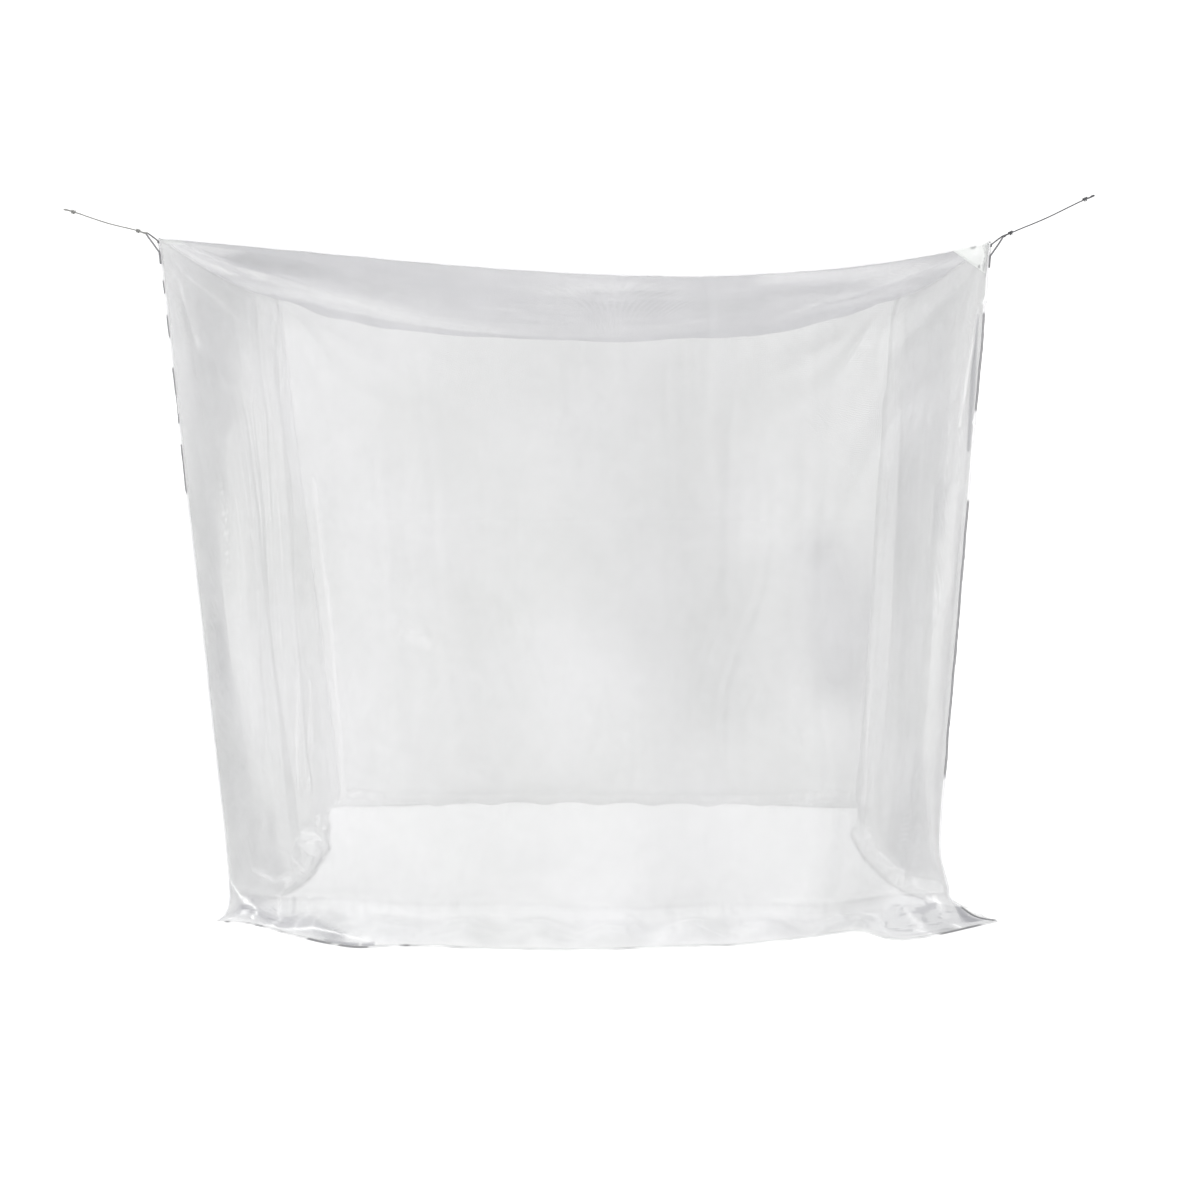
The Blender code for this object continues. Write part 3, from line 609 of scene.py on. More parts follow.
def wall_points(side, share, rows):
    """Points of a wall by rows, in metres down the cloth to DROP + RUN at the hem, and by columns."""
    top, fall, run = edge_line(side, share), fall_line(side, share), hem_run(side, share)
    knee = np.column_stack((fall, np.full(len(share), KNEE)))
    out3 = np.append(outward(side), 0.0)
    length = side_length(side)
    near = ease(from_ends(share, length) / FOLD_FROM_SEAM)
    ripple = np.minimum(RIPPLE, RIPPLE_SLOPE * np.linalg.norm(run, axis=1)) * near
    knots = []
    for down in HANG_ROWS:
        push = fold_depth(side, share, down)
        knots.append((DROP * down, top + (knee - top) * down + push[:, None] * out3))
    last_push = push[:, None] * outward(side)
    wave = 0.5 + 0.5 * np.sin(2 * math.pi * share * length / RIPPLE_PITCH)
    for out, lift in zip(FLOOR_ROWS, FLOOR_LIFTS):
        height = FLAT + lift + ripple * wave * math.sin(math.pi * out)
        if out == 1.0:
            height = ON_HEM + hem_lift(side, share)
        plan = fall + run * out + last_push * (1 - out)
        knots.append((DROP + RUN * out, np.column_stack((plan, height))))
    points = through(knots, rows)
    for corner in SIDES[side]:
        off = share if corner == SIDES[side][0] else 1 - share
        near = hump(off * length, FLARE_REACH)[None, :] * FLARE[corner]
        way = unit(np.array(SIGNS[corner]) * CORNER_RUN[corner])
        lean = hump(rows - DROP + 0.01, 0.09)[:, None] * near
        rise = hump(rows - DROP - 0.03, 0.05)[:, None] * near
        points[:, :, :2] += lean[:, :, None] * way
        points[:, :, 2] += 0.7 * rise
    return points


def hanging_relief(side, x, y):
    """How far the small folds of a hanging wall push it outwards, and how lit they are: streaks
    down it, billows, fans from its upper corners, and creases lower down."""
    seed, streak, billow, crease, *_ = RELIEF[side]
    drift = x + 0.10 * noise(x / 0.5, y / 0.7, seed + 1)
    narrow = noise(drift / 0.055, y / 0.95, seed) + 0.5 * noise(drift / 0.024, y / 0.6, seed + 2)
    relief = streak * narrow * (0.45 + 0.55 * ease(0.5 + noise(x / 0.35, y / 0.8, seed + 3)))
    relief = relief + billow * noise(x / 0.42, y / 0.55, seed + 4)
    lit = np.zeros_like(relief)
    for off in (x, side_length(side) - x):
        turn, far, spread = fan(off, y, FAN_REACH)
        folds = np.sin(FAN_FOLDS * turn + 2.2 * noise(turn * 3, far * 1.2, seed + 5))
        relief = relief + FAN_DEPTH * spread * np.sign(folds) * np.abs(folds) ** 1.4
        lit = lit + 0.30 * spread * ease((folds - 0.90) / 0.10) * ease((1.1 - far) / 0.6)
    low = ease((y - CREASED_FROM) / CREASED_OVER)
    slant = noise(x / 0.30, y / 0.30, seed + 6)
    ridges = creases(x / 0.13 + 0.9 * slant, y / 0.20 + x / 0.25, seed + 7, 0.04) - 0.72
    relief = relief + crease * 2.2 * ridges * low
    return relief, lit + 80 * crease * low * ease((ridges - 0.22) / 0.04)


def wall_relief(side, x, y):
    """A wall's small folds, outwards or up where it lies on the floor, where they are lit and shaded,
    and how far the cloth is heaped there."""
    relief, lit = hanging_relief(side, x, y)
    seed, _, _, _, crumpled, crumpled_ends = RELIEF[side]
    length = side_length(side)
    on_floor = ease((y - DROP + 0.05) / 0.06)
    bend = 0.5 * noise(x / 0.11, y / 0.11, seed + 8)
    wide = 1.7 if side in ("left", "right") else 1.0
    broad = creases(x / 0.060 / wide + bend, y / 0.075 + bend, seed + 9, 0.03)
    fine = creases(x / 0.027 / wide - bend, y / 0.040 + bend, seed + 10, 0.03)
    ends = hump(np.minimum(x, length - x), CRUMPLED_ENDS)
    ragged = 1 + 0.35 * noise(x / 0.16, 0.5, seed + 11)
    begins = DROP - through(HEAP[side], x[0] / length)[None, :] * ragged
    heaped = ease((y - begins) / HEAP_EDGE)
    amount = (crumpled + (crumpled_ends - crumpled) * ends) * heaped
    height = CRUMPLE_HEIGHT * np.maximum(broad - 0.35, 0) + CRUMPLE_FINE * fine
    relief = relief * (1 - on_floor) + amount * height
    lit = lit + 0.9 * amount * ease((broad - 0.86) / 0.08)
    shaded = 1.5 * amount * ease((fine - 0.86) / 0.07) * (1 - ease((broad - 0.80) / 0.1))
    if side == "back":
        lit = lit + 0.5 * hump(y - DROP, 0.018)
    if side in ("left", "right"):
        lit = lit + 0.60 * heaped + 0.3 * hump(y - begins, 0.008)
    if side == "front":
        shaded = shaded + (0.40 + 0.35 * ends) * ease((y - DROP + 0.05) / 0.09)
    border = ease(y / TOP_BORDER) * ease(np.minimum(x, length - x) / SEAM_BORDER)
    border = border * ease((DROP + RUN - y) / HEM_BORDER)
    return relief * border, lit * border, shaded * border, heaped


def uneven(count, length, fine=0.35, reach=0.06):
    """Shares along a side, closer together near its ends."""
    every = np.linspace(0, 1, 4001)
    gap = fine + (1 - fine) * ease(from_ends(every, length) / reach - 0.5)
    passed = np.concatenate(((0.0,), np.cumsum(1 / gap[1:])))
    return np.interp(np.linspace(0, 1, count + 1), passed / passed[-1], every)


def wall_sheet(side):
    """A wall's points by rows and columns, its flat coordinates, and its marks."""
    share = uneven(COLUMNS[side], side_length(side))
    hang = np.linspace(0, DROP - 0.06, HANG_STEPS, endpoint=False)
    rows = np.concatenate((hang, np.linspace(DROP - 0.06, DROP + RUN, FLOOR_STEPS)))
    points = wall_points(side, share, rows)
    x, y = np.meshgrid(share * side_length(side), rows)
    relief, lit, shaded, heaped = wall_relief(side, x, y)
    light, gathered_and_shaded, height = marks(side, x, y)
    if side in ("left", "right"):
        gathered_and_shaded = gathered_and_shaded - broadly_gathered_and_shaded(side, x, y) * heaped
    if side == "front":
        gathered_and_shaded = gathered_and_shaded - 0.6 * ease((DROP + 0.01 - y) / 0.07)
    relief += height * ease((DROP - 0.05 - y) / 0.05)
    up = ease((rows - DROP + 0.03) / 0.06)[:, None]
    points[:, :, :2] += (relief * (1 - up))[:, :, None] * outward(side)
    points[:, :, 2] += relief * up
    points[:, :, 2] = np.maximum(points[:, :, 2], ON_HEM)
    gathered_and_shaded = np.clip(gathered_and_shaded + shaded, THINNEST, DENSEST)
    return points, np.stack((x, y), axis=2), {"light": np.clip(light + lit, 0, 1), "gathered_and_shaded": gathered_and_shaded}


# Making meshes


def finished(piece, finish):
    piece.data.materials.append(MATERIALS[finish])
    return piece


def cloth(name, points, flat, thickness, finish, masks=()):
    """A sheet of that thickness through rows and columns of points, with masks for its material."""
    rows, columns = points.shape[0] - 1, points.shape[1] - 1
    bpy.ops.object.select_all(action="DESELECT")
    bpy.ops.mesh.primitive_grid_add(x_subdivisions=columns, y_subdivisions=rows, size=1)
    piece = bpy.context.object
    piece.name = name
    mesh = piece.data
    mesh.name = name
    place = np.empty(len(mesh.vertices) * 3, np.float32)
    mesh.vertices.foreach_get("co", place)
    place = place.reshape(-1, 3)
    column = np.rint((place[:, 0] + 0.5) * columns).astype(int)
    row = np.rint((place[:, 1] + 0.5) * rows).astype(int)
    mesh.vertices.foreach_set("co", points[row, column].astype(np.float32).ravel())
    corner = np.empty(len(mesh.loops), np.int32)
    mesh.loops.foreach_get("vertex_index", corner)
    layer = mesh.uv_layers[0]
    layer.name = "cloth"
    layer.data.foreach_set("uv", flat[row, column][corner].astype(np.float32).ravel())
    for label in masks:
        mask = mesh.attributes.new(label, "FLOAT", "POINT")
        mask.data.foreach_set("value", masks[label][row, column].astype(np.float32))
    mesh.update()
    bpy.ops.object.shade_smooth()
    shell = piece.modifiers.new("thickness", "SOLIDIFY")
    shell.thickness = thickness
    shell.offset = 0.0
    bpy.ops.object.modifier_apply(modifier=shell.name)
    return finished(piece, finish)


def swept(name, line, across, section, finish):
    """A bar along a line. Its section's points are metres across and up, for each point or all alike."""
    line = np.asarray(line, float)
    count = len(line)
    section = np.broadcast_to(section, (count, *np.shape(section)[-2:]))
    sides = section.shape[1]
    along = unit(np.gradient(line, axis=0))
    across = np.broadcast_to(across, line.shape)
    across = unit(across - along * (across * along).sum(1, keepdims=True))
    up = np.cross(along, across)
    points = line[:, None] + across[:, None] * section[:, :, :1] + up[:, None] * section[:, :, 1:]
    reach = run_along(line)
    round_it = run_along(np.vstack((section[0], section[0, :1])))
    faces, flat = [], []
    for n in range(count - 1):
        for k in range(sides):
            m = (k + 1) % sides
            faces.append((n * sides + k, n * sides + m, (n + 1) * sides + m, (n + 1) * sides + k))
            low, high = reach[n], reach[n + 1]
            one, two = round_it[k], round_it[k + 1]
            flat += [(low, one), (low, two), (high, two), (high, one)]
    for n, turn in ((0, -1), (count - 1, 1)):
        faces.append(tuple(n * sides + k for k in range(sides))[::turn])
        flat += [tuple(section[n, k] + reach[n]) for k in range(sides)][::turn]
    mesh = bpy.data.meshes.new(name)
    mesh.from_pydata(points.reshape(-1, 3).tolist(), [], faces)
    layer = mesh.uv_layers.new(name="cloth")
    layer.data.foreach_set("uv", np.array(flat, np.float32).ravel())
    mesh.shade_smooth()
    piece = bpy.data.objects.new(name, mesh)
    bpy.context.scene.collection.objects.link(piece)
    return finished(piece, finish)


def resampled(line, step):
    """Even points along a line, about that far apart."""
    reach = run_along(line)
    even = np.linspace(0, reach[-1], max(2, round(reach[-1] / step) + 1))
    return np.column_stack([np.interp(even, reach, line[:, k]) for k in range(3)])


def join(pieces, name):
    bpy.ops.object.select_all(action="DESELECT")
    for piece in pieces:
        piece.select_set(True)
    bpy.context.view_layer.objects.active = pieces[0]
    if len(pieces) > 1:
        bpy.ops.object.join()
    pieces[0].name = name
    return pieces[0]


# Materials


def feed(tree, socket, value):
    """Links a socket to another one's output, or gives it a value."""
    if isinstance(value, bpy.types.NodeSocket):
        tree.links.new(value, socket)
    elif value is not None:
        socket.default_value = value


def node(tree, kind, inputs=None, **settings):
    """The outputs of a new node with those inputs, by name or number, and settings."""
    made = tree.nodes.new(kind)
    for key, value in settings.items():
        setattr(made, key, value)
    for key, value in (inputs or {}).items():
        feed(tree, made.inputs[key], value)
    return made.outputs


def maths(tree, operation, *values, clamp=False):
    inputs = dict(enumerate(values))
    return node(tree, "ShaderNodeMath", inputs, operation=operation, use_clamp=clamp)[0]


def vector_maths(tree, operation, first, second):
    return node(tree, "ShaderNodeVectorMath", {0: first, 1: second}, operation=operation)


def ranged(tree, value, start=(0.0, 1.0), end=(0.0, 1.0), **settings):
    """A value taken from one range to another, and held within it."""
    limits = {"From Min": start[0], "From Max": start[1], "To Min": end[0], "To Max": end[1]}
    return node(tree, "ShaderNodeMapRange", {"Value": value, **limits}, **settings)["Result"]


def noise_at(tree, place, scale, detail):
    return node(tree, "ShaderNodeTexNoise", {"Vector": place, "Scale": scale, "Detail": detail})["Fac"]


def mixed_colour(tree, share, *colours):
    """A blend of two colours, with that share of the second."""
    one, two = (each if isinstance(each, bpy.types.NodeSocket) else (*each, 1.0) for each in colours)
    return node(tree, "ShaderNodeMix", {0: share, 6: one, 7: two}, data_type="RGBA")[2]


def own_mask(tree, name):
    """A mask that a piece carries in its mesh."""
    return node(tree, "ShaderNodeAttribute", attribute_name=name)["Fac"]


def bumps(tree, strength, distance, height):
    inputs = {"Strength": strength, "Distance": distance, "Height": height}
    return node(tree, "ShaderNodeBump", inputs)["Normal"]


def dull(tree, colour, roughness, gloss, normal=None):
    """A surface without a sheen, with that little gloss."""
    inputs = {"Base Color": colour, "Roughness": roughness, "Specular IOR Level": gloss, "Normal": normal}
    return node(tree, "ShaderNodeBsdfPrincipled", inputs)[0]


def glow(tree, colour, normal):
    """Light that comes through from behind."""
    return node(tree, "ShaderNodeBsdfTranslucent", {"Color": colour, "Normal": normal})[0]


def clear(tree):
    return node(tree, "ShaderNodeBsdfTransparent")[0]


def blended(tree, share, first, second):
    """Two surfaces as one, with that share of the second."""
    return node(tree, "ShaderNodeMixShader", {0: share, 1: first, 2: second})[0]


def in_shadow_ray(tree):
    return node(tree, "ShaderNodeLightPath")["Is Shadow Ray"]


def new_group(name, inputs, *outputs):
    """A group that puts out single values. An input without a value of its own is a place."""
    tree = bpy.data.node_groups.new(name, "ShaderNodeTree")
    for label, value in inputs.items():
        kind = "NodeSocketVector" if value is None else "NodeSocketFloat"
        socket = tree.interface.new_socket(label, in_out="INPUT", socket_type=kind)
        if value is not None:
            socket.default_value = value
    for label in outputs:
        tree.interface.new_socket(label, in_out="OUTPUT", socket_type="NodeSocketFloat")
    return tree, tree.nodes.new("NodeGroupInput").outputs, tree.nodes.new("NodeGroupOutput").inputs


def knit_group():
    """The hexagonal holes of a knitted mesh: how much yarn covers a place, and its height."""
    tree, given, put = new_group("knitted mesh", {"Flat": None, "Pitch": MESH_PITCH}, "Yarn", "Height")
    turns = maths(tree, "DIVIDE", 2 * math.pi, given["Pitch"])
    waves = []
    for angle in (0, 60, 120):
        way = (math.cos(math.radians(angle)), math.sin(math.radians(angle)), 0.0)
        run = vector_maths(tree, "DOT_PRODUCT", given["Flat"], way)["Value"]
        waves.append(maths(tree, "COSINE", maths(tree, "MULTIPLY", run, turns)))
    total = maths(tree, "ADD", maths(tree, "ADD", waves[0], waves[1]), waves[2])
    feed(tree, put["Yarn"], ranged(tree, total, YARN_EDGE, interpolation_type="SMOOTHSTEP"))
    feed(tree, put["Height"], maths(tree, "MULTIPLY", total, -0.4))
    return tree


def mottle_group():
    """Slow changes over the cloth, from 0 to 1, where it is thicker, dirtier or more worn."""
    tree, given, put = new_group("slow mottling", {"Place": None, "Scale": 4.0}, "Value")
    slow = noise_at(tree, given["Place"], given["Scale"], 3.0)
    feed(tree, put["Value"], ranged(tree, slow, (0.3, 0.7)))
    return tree


def weave_group():
    """A plain weave: the height of its threads, and a shade that varies from thread to thread."""
    tree, given, put = new_group("plain weave", {"Flat": None, "Pitch": TAPE_PITCH}, "Height", "Shade")
    parts = node(tree, "ShaderNodeSeparateXYZ", {0: given["Flat"]})
    turns = maths(tree, "DIVIDE", math.pi, given["Pitch"])
    warp = maths(tree, "SINE", maths(tree, "MULTIPLY", parts["X"], turns))
    weft = maths(tree, "SINE", maths(tree, "MULTIPLY", parts["Y"], turns))
    crossing = maths(tree, "MULTIPLY", warp, weft)
    height = maths(tree, "ADD", maths(tree, "ABSOLUTE", warp), maths(tree, "MULTIPLY", crossing, 0.6))
    threads = vector_maths(tree, "MULTIPLY", given["Flat"], THREAD_STRETCH)[0]
    feed(tree, put["Height"], height)
    feed(tree, put["Shade"], noise_at(tree, threads, 1.0, 2.0))
    return tree


def stitch_group():
    """A line of stitches along U, at that height V: 1 on the thread and 0 beside it."""
    sizes = {"Row": 0.003, "Length": STITCH_LENGTH, "Width": STITCH_WIDTH}
    tree, given, put = new_group("stitches", {"Flat": None, **sizes}, "Thread")
    parts = node(tree, "ShaderNodeSeparateXYZ", {0: given["Flat"]})
    turns = maths(tree, "DIVIDE", 2 * math.pi, given["Length"])
    wave = maths(tree, "COSINE", maths(tree, "MULTIPLY", parts["X"], turns))
    off = maths(tree, "ABSOLUTE", maths(tree, "SUBTRACT", parts["Y"], given["Row"]))
    beside = ranged(tree, maths(tree, "DIVIDE", off, given["Width"]), (1.0, 0.6))
    feed(tree, put["Thread"], maths(tree, "MULTIPLY", ranged(tree, wave, (-0.75, -0.45)), beside))
    return tree


def effect(tree, name, **inputs):
    """The outputs of one of the groups, placed in a material."""
    return node(tree, "ShaderNodeGroup", inputs, node_tree=GROUPS[name])


def blank_material(name):
    made = bpy.data.materials.new(name)
    made.use_nodes = True
    made.node_tree.nodes.clear()
    return made, made.node_tree


def places(tree):
    """Where a place is on the flat cloth, and on the piece."""
    flat = node(tree, "ShaderNodeUVMap", uv_map="cloth")["UV"]
    return flat, node(tree, "ShaderNodeTexCoord")["Object"]


def netting_material(name, colours, cover, close=0.0):
    """Knitted mesh. Its yarn covers that share of it where it is thinnest and thickest, and fills
    that share of its holes, as one sees it."""
    made, tree = blank_material(name)
    flat, place = places(tree)
    light, gathered_and_shaded = own_mask(tree, "light"), own_mask(tree, "gathered_and_shaded")
    knit = effect(tree, "knit", Flat=flat)
    slow = effect(tree, "mottle", Place=place, Scale=2.6)["Value"]
    patchy = effect(tree, "mottle", Place=place, Scale=11.0)["Value"]
    colour = mixed_colour(tree, slow, *colours)
    # Gathered cloth is darkened here towards a painted shade, and light marks are a painted highlight.
    shaded = maths(tree, "MULTIPLY", gathered_and_shaded, 0.45, clamp=True)
    colour = mixed_colour(tree, shaded, colour, NETTING_PAINTED_SHADE)
    colour = mixed_colour(tree, maths(tree, "MULTIPLY", light, 0.9), colour, LIT_SHADE)
    normal = bumps(tree, 0.5, 0.0003, knit["Height"])
    body = blended(tree, 0.45, dull(tree, colour, 0.7, 0.25, normal), glow(tree, colour, normal))
    worn = maths(tree, "MULTIPLY_ADD", patchy, 0.4, maths(tree, "MULTIPLY", slow, 0.6))
    share = maths(tree, "MULTIPLY_ADD", gathered_and_shaded, 0.16, ranged(tree, worn, end=cover))
    filled = maths(tree, "MAXIMUM", light, maths(tree, "MULTIPLY_ADD", gathered_and_shaded, 0.30, close))
    holes = maths(tree, "SUBTRACT", 1.0, knit["Yarn"])
    yarn = maths(tree, "MULTIPLY_ADD", filled, holes, knit["Yarn"])
    seen = maths(tree, "MULTIPLY", yarn, share, clamp=True)
    dimmed = maths(tree, "MULTIPLY", in_shadow_ray(tree), LIGHT_PASSED)
    seen = maths(tree, "MULTIPLY", seen, maths(tree, "SUBTRACT", 1.0, dimmed))
    node(tree, "ShaderNodeOutputMaterial", {"Surface": blended(tree, seen, clear(tree), body)})
    return made


def woven_material(name, colours, pitch, stitches=(), roughness=0.6, **kinds):
    """Woven cloth, with rows of stitches at those heights in V. Thin cloth glows by that share, sheer
    cloth is seen through, and a power on its mottling sets how much of it has its darker colour: a lower
    power leaves less. Cloth given painted shade is dark where its own mask says so."""
    made, tree = blank_material(name)
    flat, place = places(tree)
    weave = effect(tree, "weave", Flat=flat, Pitch=pitch)
    slow = effect(tree, "mottle", Place=place, Scale=14.0)["Value"]
    # Two colours blended by slow mottling; on the hem tape the darker one is painted shadow.
    colour = mixed_colour(tree, maths(tree, "POWER", slow, kinds.get("clean", 1.0)), *colours)
    if "worn" in kinds:
        colour = mixed_colour(tree, own_mask(tree, "shaded"), colour, WOVEN_PAINTED_SHADE)
    shade = maths(tree, "MULTIPLY_ADD", weave["Shade"], 0.16, 0.90)
    tint = node(tree, "ShaderNodeCombineXYZ", {0: shade, 1: shade, 2: shade})[0]
    colour = vector_maths(tree, "MULTIPLY", colour, tint)[0]
    height = weave["Height"]
    for row in stitches:
        thread = effect(tree, "stitch", Flat=flat, Row=row)["Thread"]
        colour = mixed_colour(tree, thread, colour, THREAD_SHADE)
        height = maths(tree, "ADD", height, maths(tree, "MULTIPLY", thread, 2.0))
    normal = bumps(tree, 0.5, 0.00007, height)
    rough = ranged(tree, weave["Shade"], end=(roughness, roughness + 0.15))
    out = dull(tree, colour, rough, 0.3, normal)
    if "thin" in kinds:
        out = blended(tree, kinds["thin"], out, glow(tree, colour, normal))
        passed = maths(tree, "MULTIPLY", in_shadow_ray(tree), 0.7)
        out = blended(tree, passed, out, clear(tree))
    if "sheer" in kinds:
        out = blended(tree, kinds["sheer"], clear(tree), out)
    node(tree, "ShaderNodeOutputMaterial", {"Surface": out})
    return made


def cord_material(name, colours):
    """Twisted yarn, with fibres that run with its strands."""
    made, tree = blank_material(name)
    flat, place = places(tree)
    parts = node(tree, "ShaderNodeSeparateXYZ", {0: flat})
    slant = maths(tree, "MULTIPLY_ADD", parts["X"], 0.55, parts["Y"])
    along = maths(tree, "MULTIPLY", parts["X"], 250.0)
    round_it = maths(tree, "MULTIPLY", slant, 5000.0)
    fibres = node(tree, "ShaderNodeCombineXYZ", {0: along, 1: round_it})[0]
    strands = noise_at(tree, fibres, 1.0, 3.0)
    slow = effect(tree, "mottle", Place=place, Scale=30.0)["Value"]
    blend = maths(tree, "MULTIPLY_ADD", slow, 0.5, maths(tree, "MULTIPLY", strands, 0.5))
    colour = mixed_colour(tree, blend, *colours)
    out = dull(tree, colour, 0.75, 0.3, bumps(tree, 0.7, 0.0003, strands))
    node(tree, "ShaderNodeOutputMaterial", {"Surface": out})
    return made


YARN_EDGE = (0.55, -0.75)  # the knit's height where its yarn begins and where it is whole
TAPE_PITCH = 0.0006
PATCH_PITCH = 0.0005
RIBBON_PITCH = 0.0009
THREAD_STRETCH = (90.0, 1400.0, 90.0)
STITCH_LENGTH = 0.0032
STITCH_WIDTH = 0.0005
LIGHT_PASSED = 0.95  # share of the light that netting doesn't stop
# painted shade of folds, seams, hems and gathered cloth
NETTING_PAINTED_SHADE = (0.50, 0.50, 0.52)
LIT_SHADE = (0.97, 0.97, 0.97)
# colour of painted shade on seam tape, hem tape and patch cloth
WOVEN_PAINTED_SHADE = (0.32, 0.32, 0.33)
THREAD_SHADE = (0.93, 0.93, 0.93)
WALL_SHADES = ((0.68, 0.685, 0.68), (0.77, 0.77, 0.775))
# the walls' netting, darker and cooler as painted shade of the roof's underside seen from below
ROOF_PAINTED_SHADES = ((0.54, 0.535, 0.57), (0.64, 0.635, 0.66))
TAPE_SHADES = ((0.93, 0.93, 0.94), (0.97, 0.97, 0.97))
# The hem tape's darker colour is painted shadow along the hem, spread by its mottling.
HEM_SHADES = ((0.34, 0.34, 0.35), (0.95, 0.95, 0.95))
PATCH_SHADES = ((0.86, 0.88, 0.86), (0.96, 0.96, 0.96))
RIBBON_SHADES = ((0.10, 0.10, 0.11), (0.26, 0.26, 0.27))
LIGHT_CORD_SHADES = ((0.20, 0.20, 0.19), (0.36, 0.36, 0.35))
DARK_CORD_SHADES = ((0.03, 0.03, 0.03), (0.14, 0.14, 0.15))
SEAM_STITCHES = (0.0022,)
HEM_STITCHES = (0.002, 0.010)
GROUPS = {
    "knit": knit_group(),
    "mottle": mottle_group(),
    "weave": weave_group(),
    "stitch": stitch_group(),
}
MATERIALS = {
    "netting": netting_material("netting", WALL_SHADES, (0.72, 1.0)),
    "roof_netting": netting_material("roof netting", ROOF_PAINTED_SHADES, (0.90, 1.0), 0.25),
    "seam_tape": woven_material("seam tape", TAPE_SHADES, TAPE_PITCH, SEAM_STITCHES, thin=0.4),
    "worn_tape": woven_material(
        "worn tape", TAPE_SHADES, TAPE_PITCH, SEAM_STITCHES, thin=0.4, worn=True
    ),
    "hem_tape": woven_material(
        "hem tape", HEM_SHADES, TAPE_PITCH, HEM_STITCHES, thin=0.3, clean=0.3, worn=True
    ),
    "patch_cloth": woven_material(
        "patch cloth", PATCH_SHADES, PATCH_PITCH, sheer=0.9, thin=0.4, worn=True
    ),
    "ribbon": woven_material("ribbon", RIBBON_SHADES, RIBBON_PITCH, roughness=0.45),
    "cord_light": cord_material("light cord", LIGHT_CORD_SHADES),
    "cord_dark": cord_material("dark cord", DARK_CORD_SHADES),
}


# The walls


walls = {}
for side in SIDES:
    points, flat, masks = wall_sheet(side)
    wall = cloth(f"{side}_wall", points, flat, CLOTH, "netting", masks)
    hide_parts(f"wall_{side}")
    walls[side] = wall


# The roof


def surface_at(across, along):
    """Points of the roof as its edges span it, with its sag, at shares across it and along it."""
    shape = across.shape
    across, along = across.ravel(), along.ravel()
    front, back = edge_line("front", across), edge_line("back", 1 - across)
    left, right = edge_line("left", 1 - along), edge_line("right", along)
    u, v = across[:, None], along[:, None]
    low = ROOF["front_left"] * (1 - u) + ROOF["front_right"] * u
    high = ROOF["back_left"] * (1 - u) + ROOF["back_right"] * u
    points = front * (1 - v) + back * v + left * (1 - u) + right * u - (low * (1 - v) + high * v)
    points[:, 2] -= ROOF_SAG * 16 * across * (1 - across) * along * (1 - along)
    return points.reshape(*shape, 3)


def pleat_height(u, v):
    """The roof's pleats, which fan out from its corners as in the part's source."""
    width, depth = side_length("front"), side_length("right")
    height = 0.0
    for x in (u, 1 - u):
        for y in (v, 1 - v):
            turn, _, fade = fan(y * depth, x * width, PLEAT_FROM_CORNER)
            height = height + PLEAT * fade * np.sin(2 * PLEATS * turn)
    edge = np.minimum(from_ends(u, width), from_ends(v, depth))
    return height * ease(edge / PLEAT_FROM_EDGE)


ROOF_FAN_REACH = 0.24
ROOF_FAN_FOLDS = 17
ROOF_FAN_DEPTH = 0.0050


def roof_relief(u, v):
    """The roof's small folds: fans from its corners, and slack between them."""
    x, y = u * side_length("front"), v * side_length("right")
    relief = 0.007 * noise(x / 0.40, y / 0.34, 61) + 0.0022 * noise(x / 0.16, y / 0.07, 62)
    far_x, far_y = x.max() - x, y.max() - y
    for n, (a, b) in enumerate(((x, y), (far_x, y), (x, far_y), (far_x, far_y))):
        turn, far, _ = fan(b, a, ROOF_FAN_REACH)
        folds = np.sin(ROOF_FAN_FOLDS * turn + 2.5 * noise(turn * 4, far, 63 + n))
        fade = ROOF_FAN_DEPTH * far * np.exp(1 - far)
        relief = relief + fade * folds * np.sin(2 * turn) ** 0.5
    edge = np.minimum(np.minimum(x, far_x), np.minimum(y, far_y))
    return relief * ease(edge / 0.05)


across, along = np.meshgrid(np.linspace(0, 1, ROOF_COLUMNS + 1), np.linspace(0, 1, ROOF_ROWS + 1))
flat = np.stack((across * side_length("front"), along * side_length("right")), axis=2)
light, gathered_and_shaded, height = marks("roof", flat[:, :, 0], flat[:, :, 1])
points = surface_at(across, along)
points[:, :, 2] += pleat_height(across, along) + roof_relief(across, along)
points[:, :, 2] += height
masks = {"light": light, "gathered_and_shaded": np.clip(gathered_and_shaded, THINNEST, DENSEST)}
roof = cloth("roof", points, flat, CLOTH, "roof_netting", masks)
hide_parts("roof_panel")
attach(roof, "canopy")


# Seams


def tape_section(width, thickness):
    """A flattened tape, rounded at its edges."""
    c, s = ring(12).T
    out = np.sign(c) * np.abs(c) ** 0.6 * width / 2
    return np.column_stack((out, np.sign(s) * np.abs(s) ** 0.8 * thickness / 2))


def puckered(section, count, step, seed, depth=0.25, free=0.0):
    """A section for each point of a seam, drawn in a little unevenly by its stitches. It is free to
    sway beyond that distance from its start."""
    along = np.arange(count) * step
    stitches = np.sin(2 * math.pi * along / PUCKER_PITCH)
    pull = 1 + depth * noise(along / 0.011, 0.5, seed) + 0.12 * stitches
    sway = 0.0012 * noise(along / 0.05, 9.5, seed + 1) * ease((along - free) / 0.04 + 1)
    shaped = np.repeat(section[None], count, axis=0).copy()
    shaped[:, :, 1] *= pull[:, None]
    shaped[:, :, 0] = shaped[:, :, 0] * (1 + 0.5 * (pull[:, None] - 1)) + sway[:, None]
    return shaped


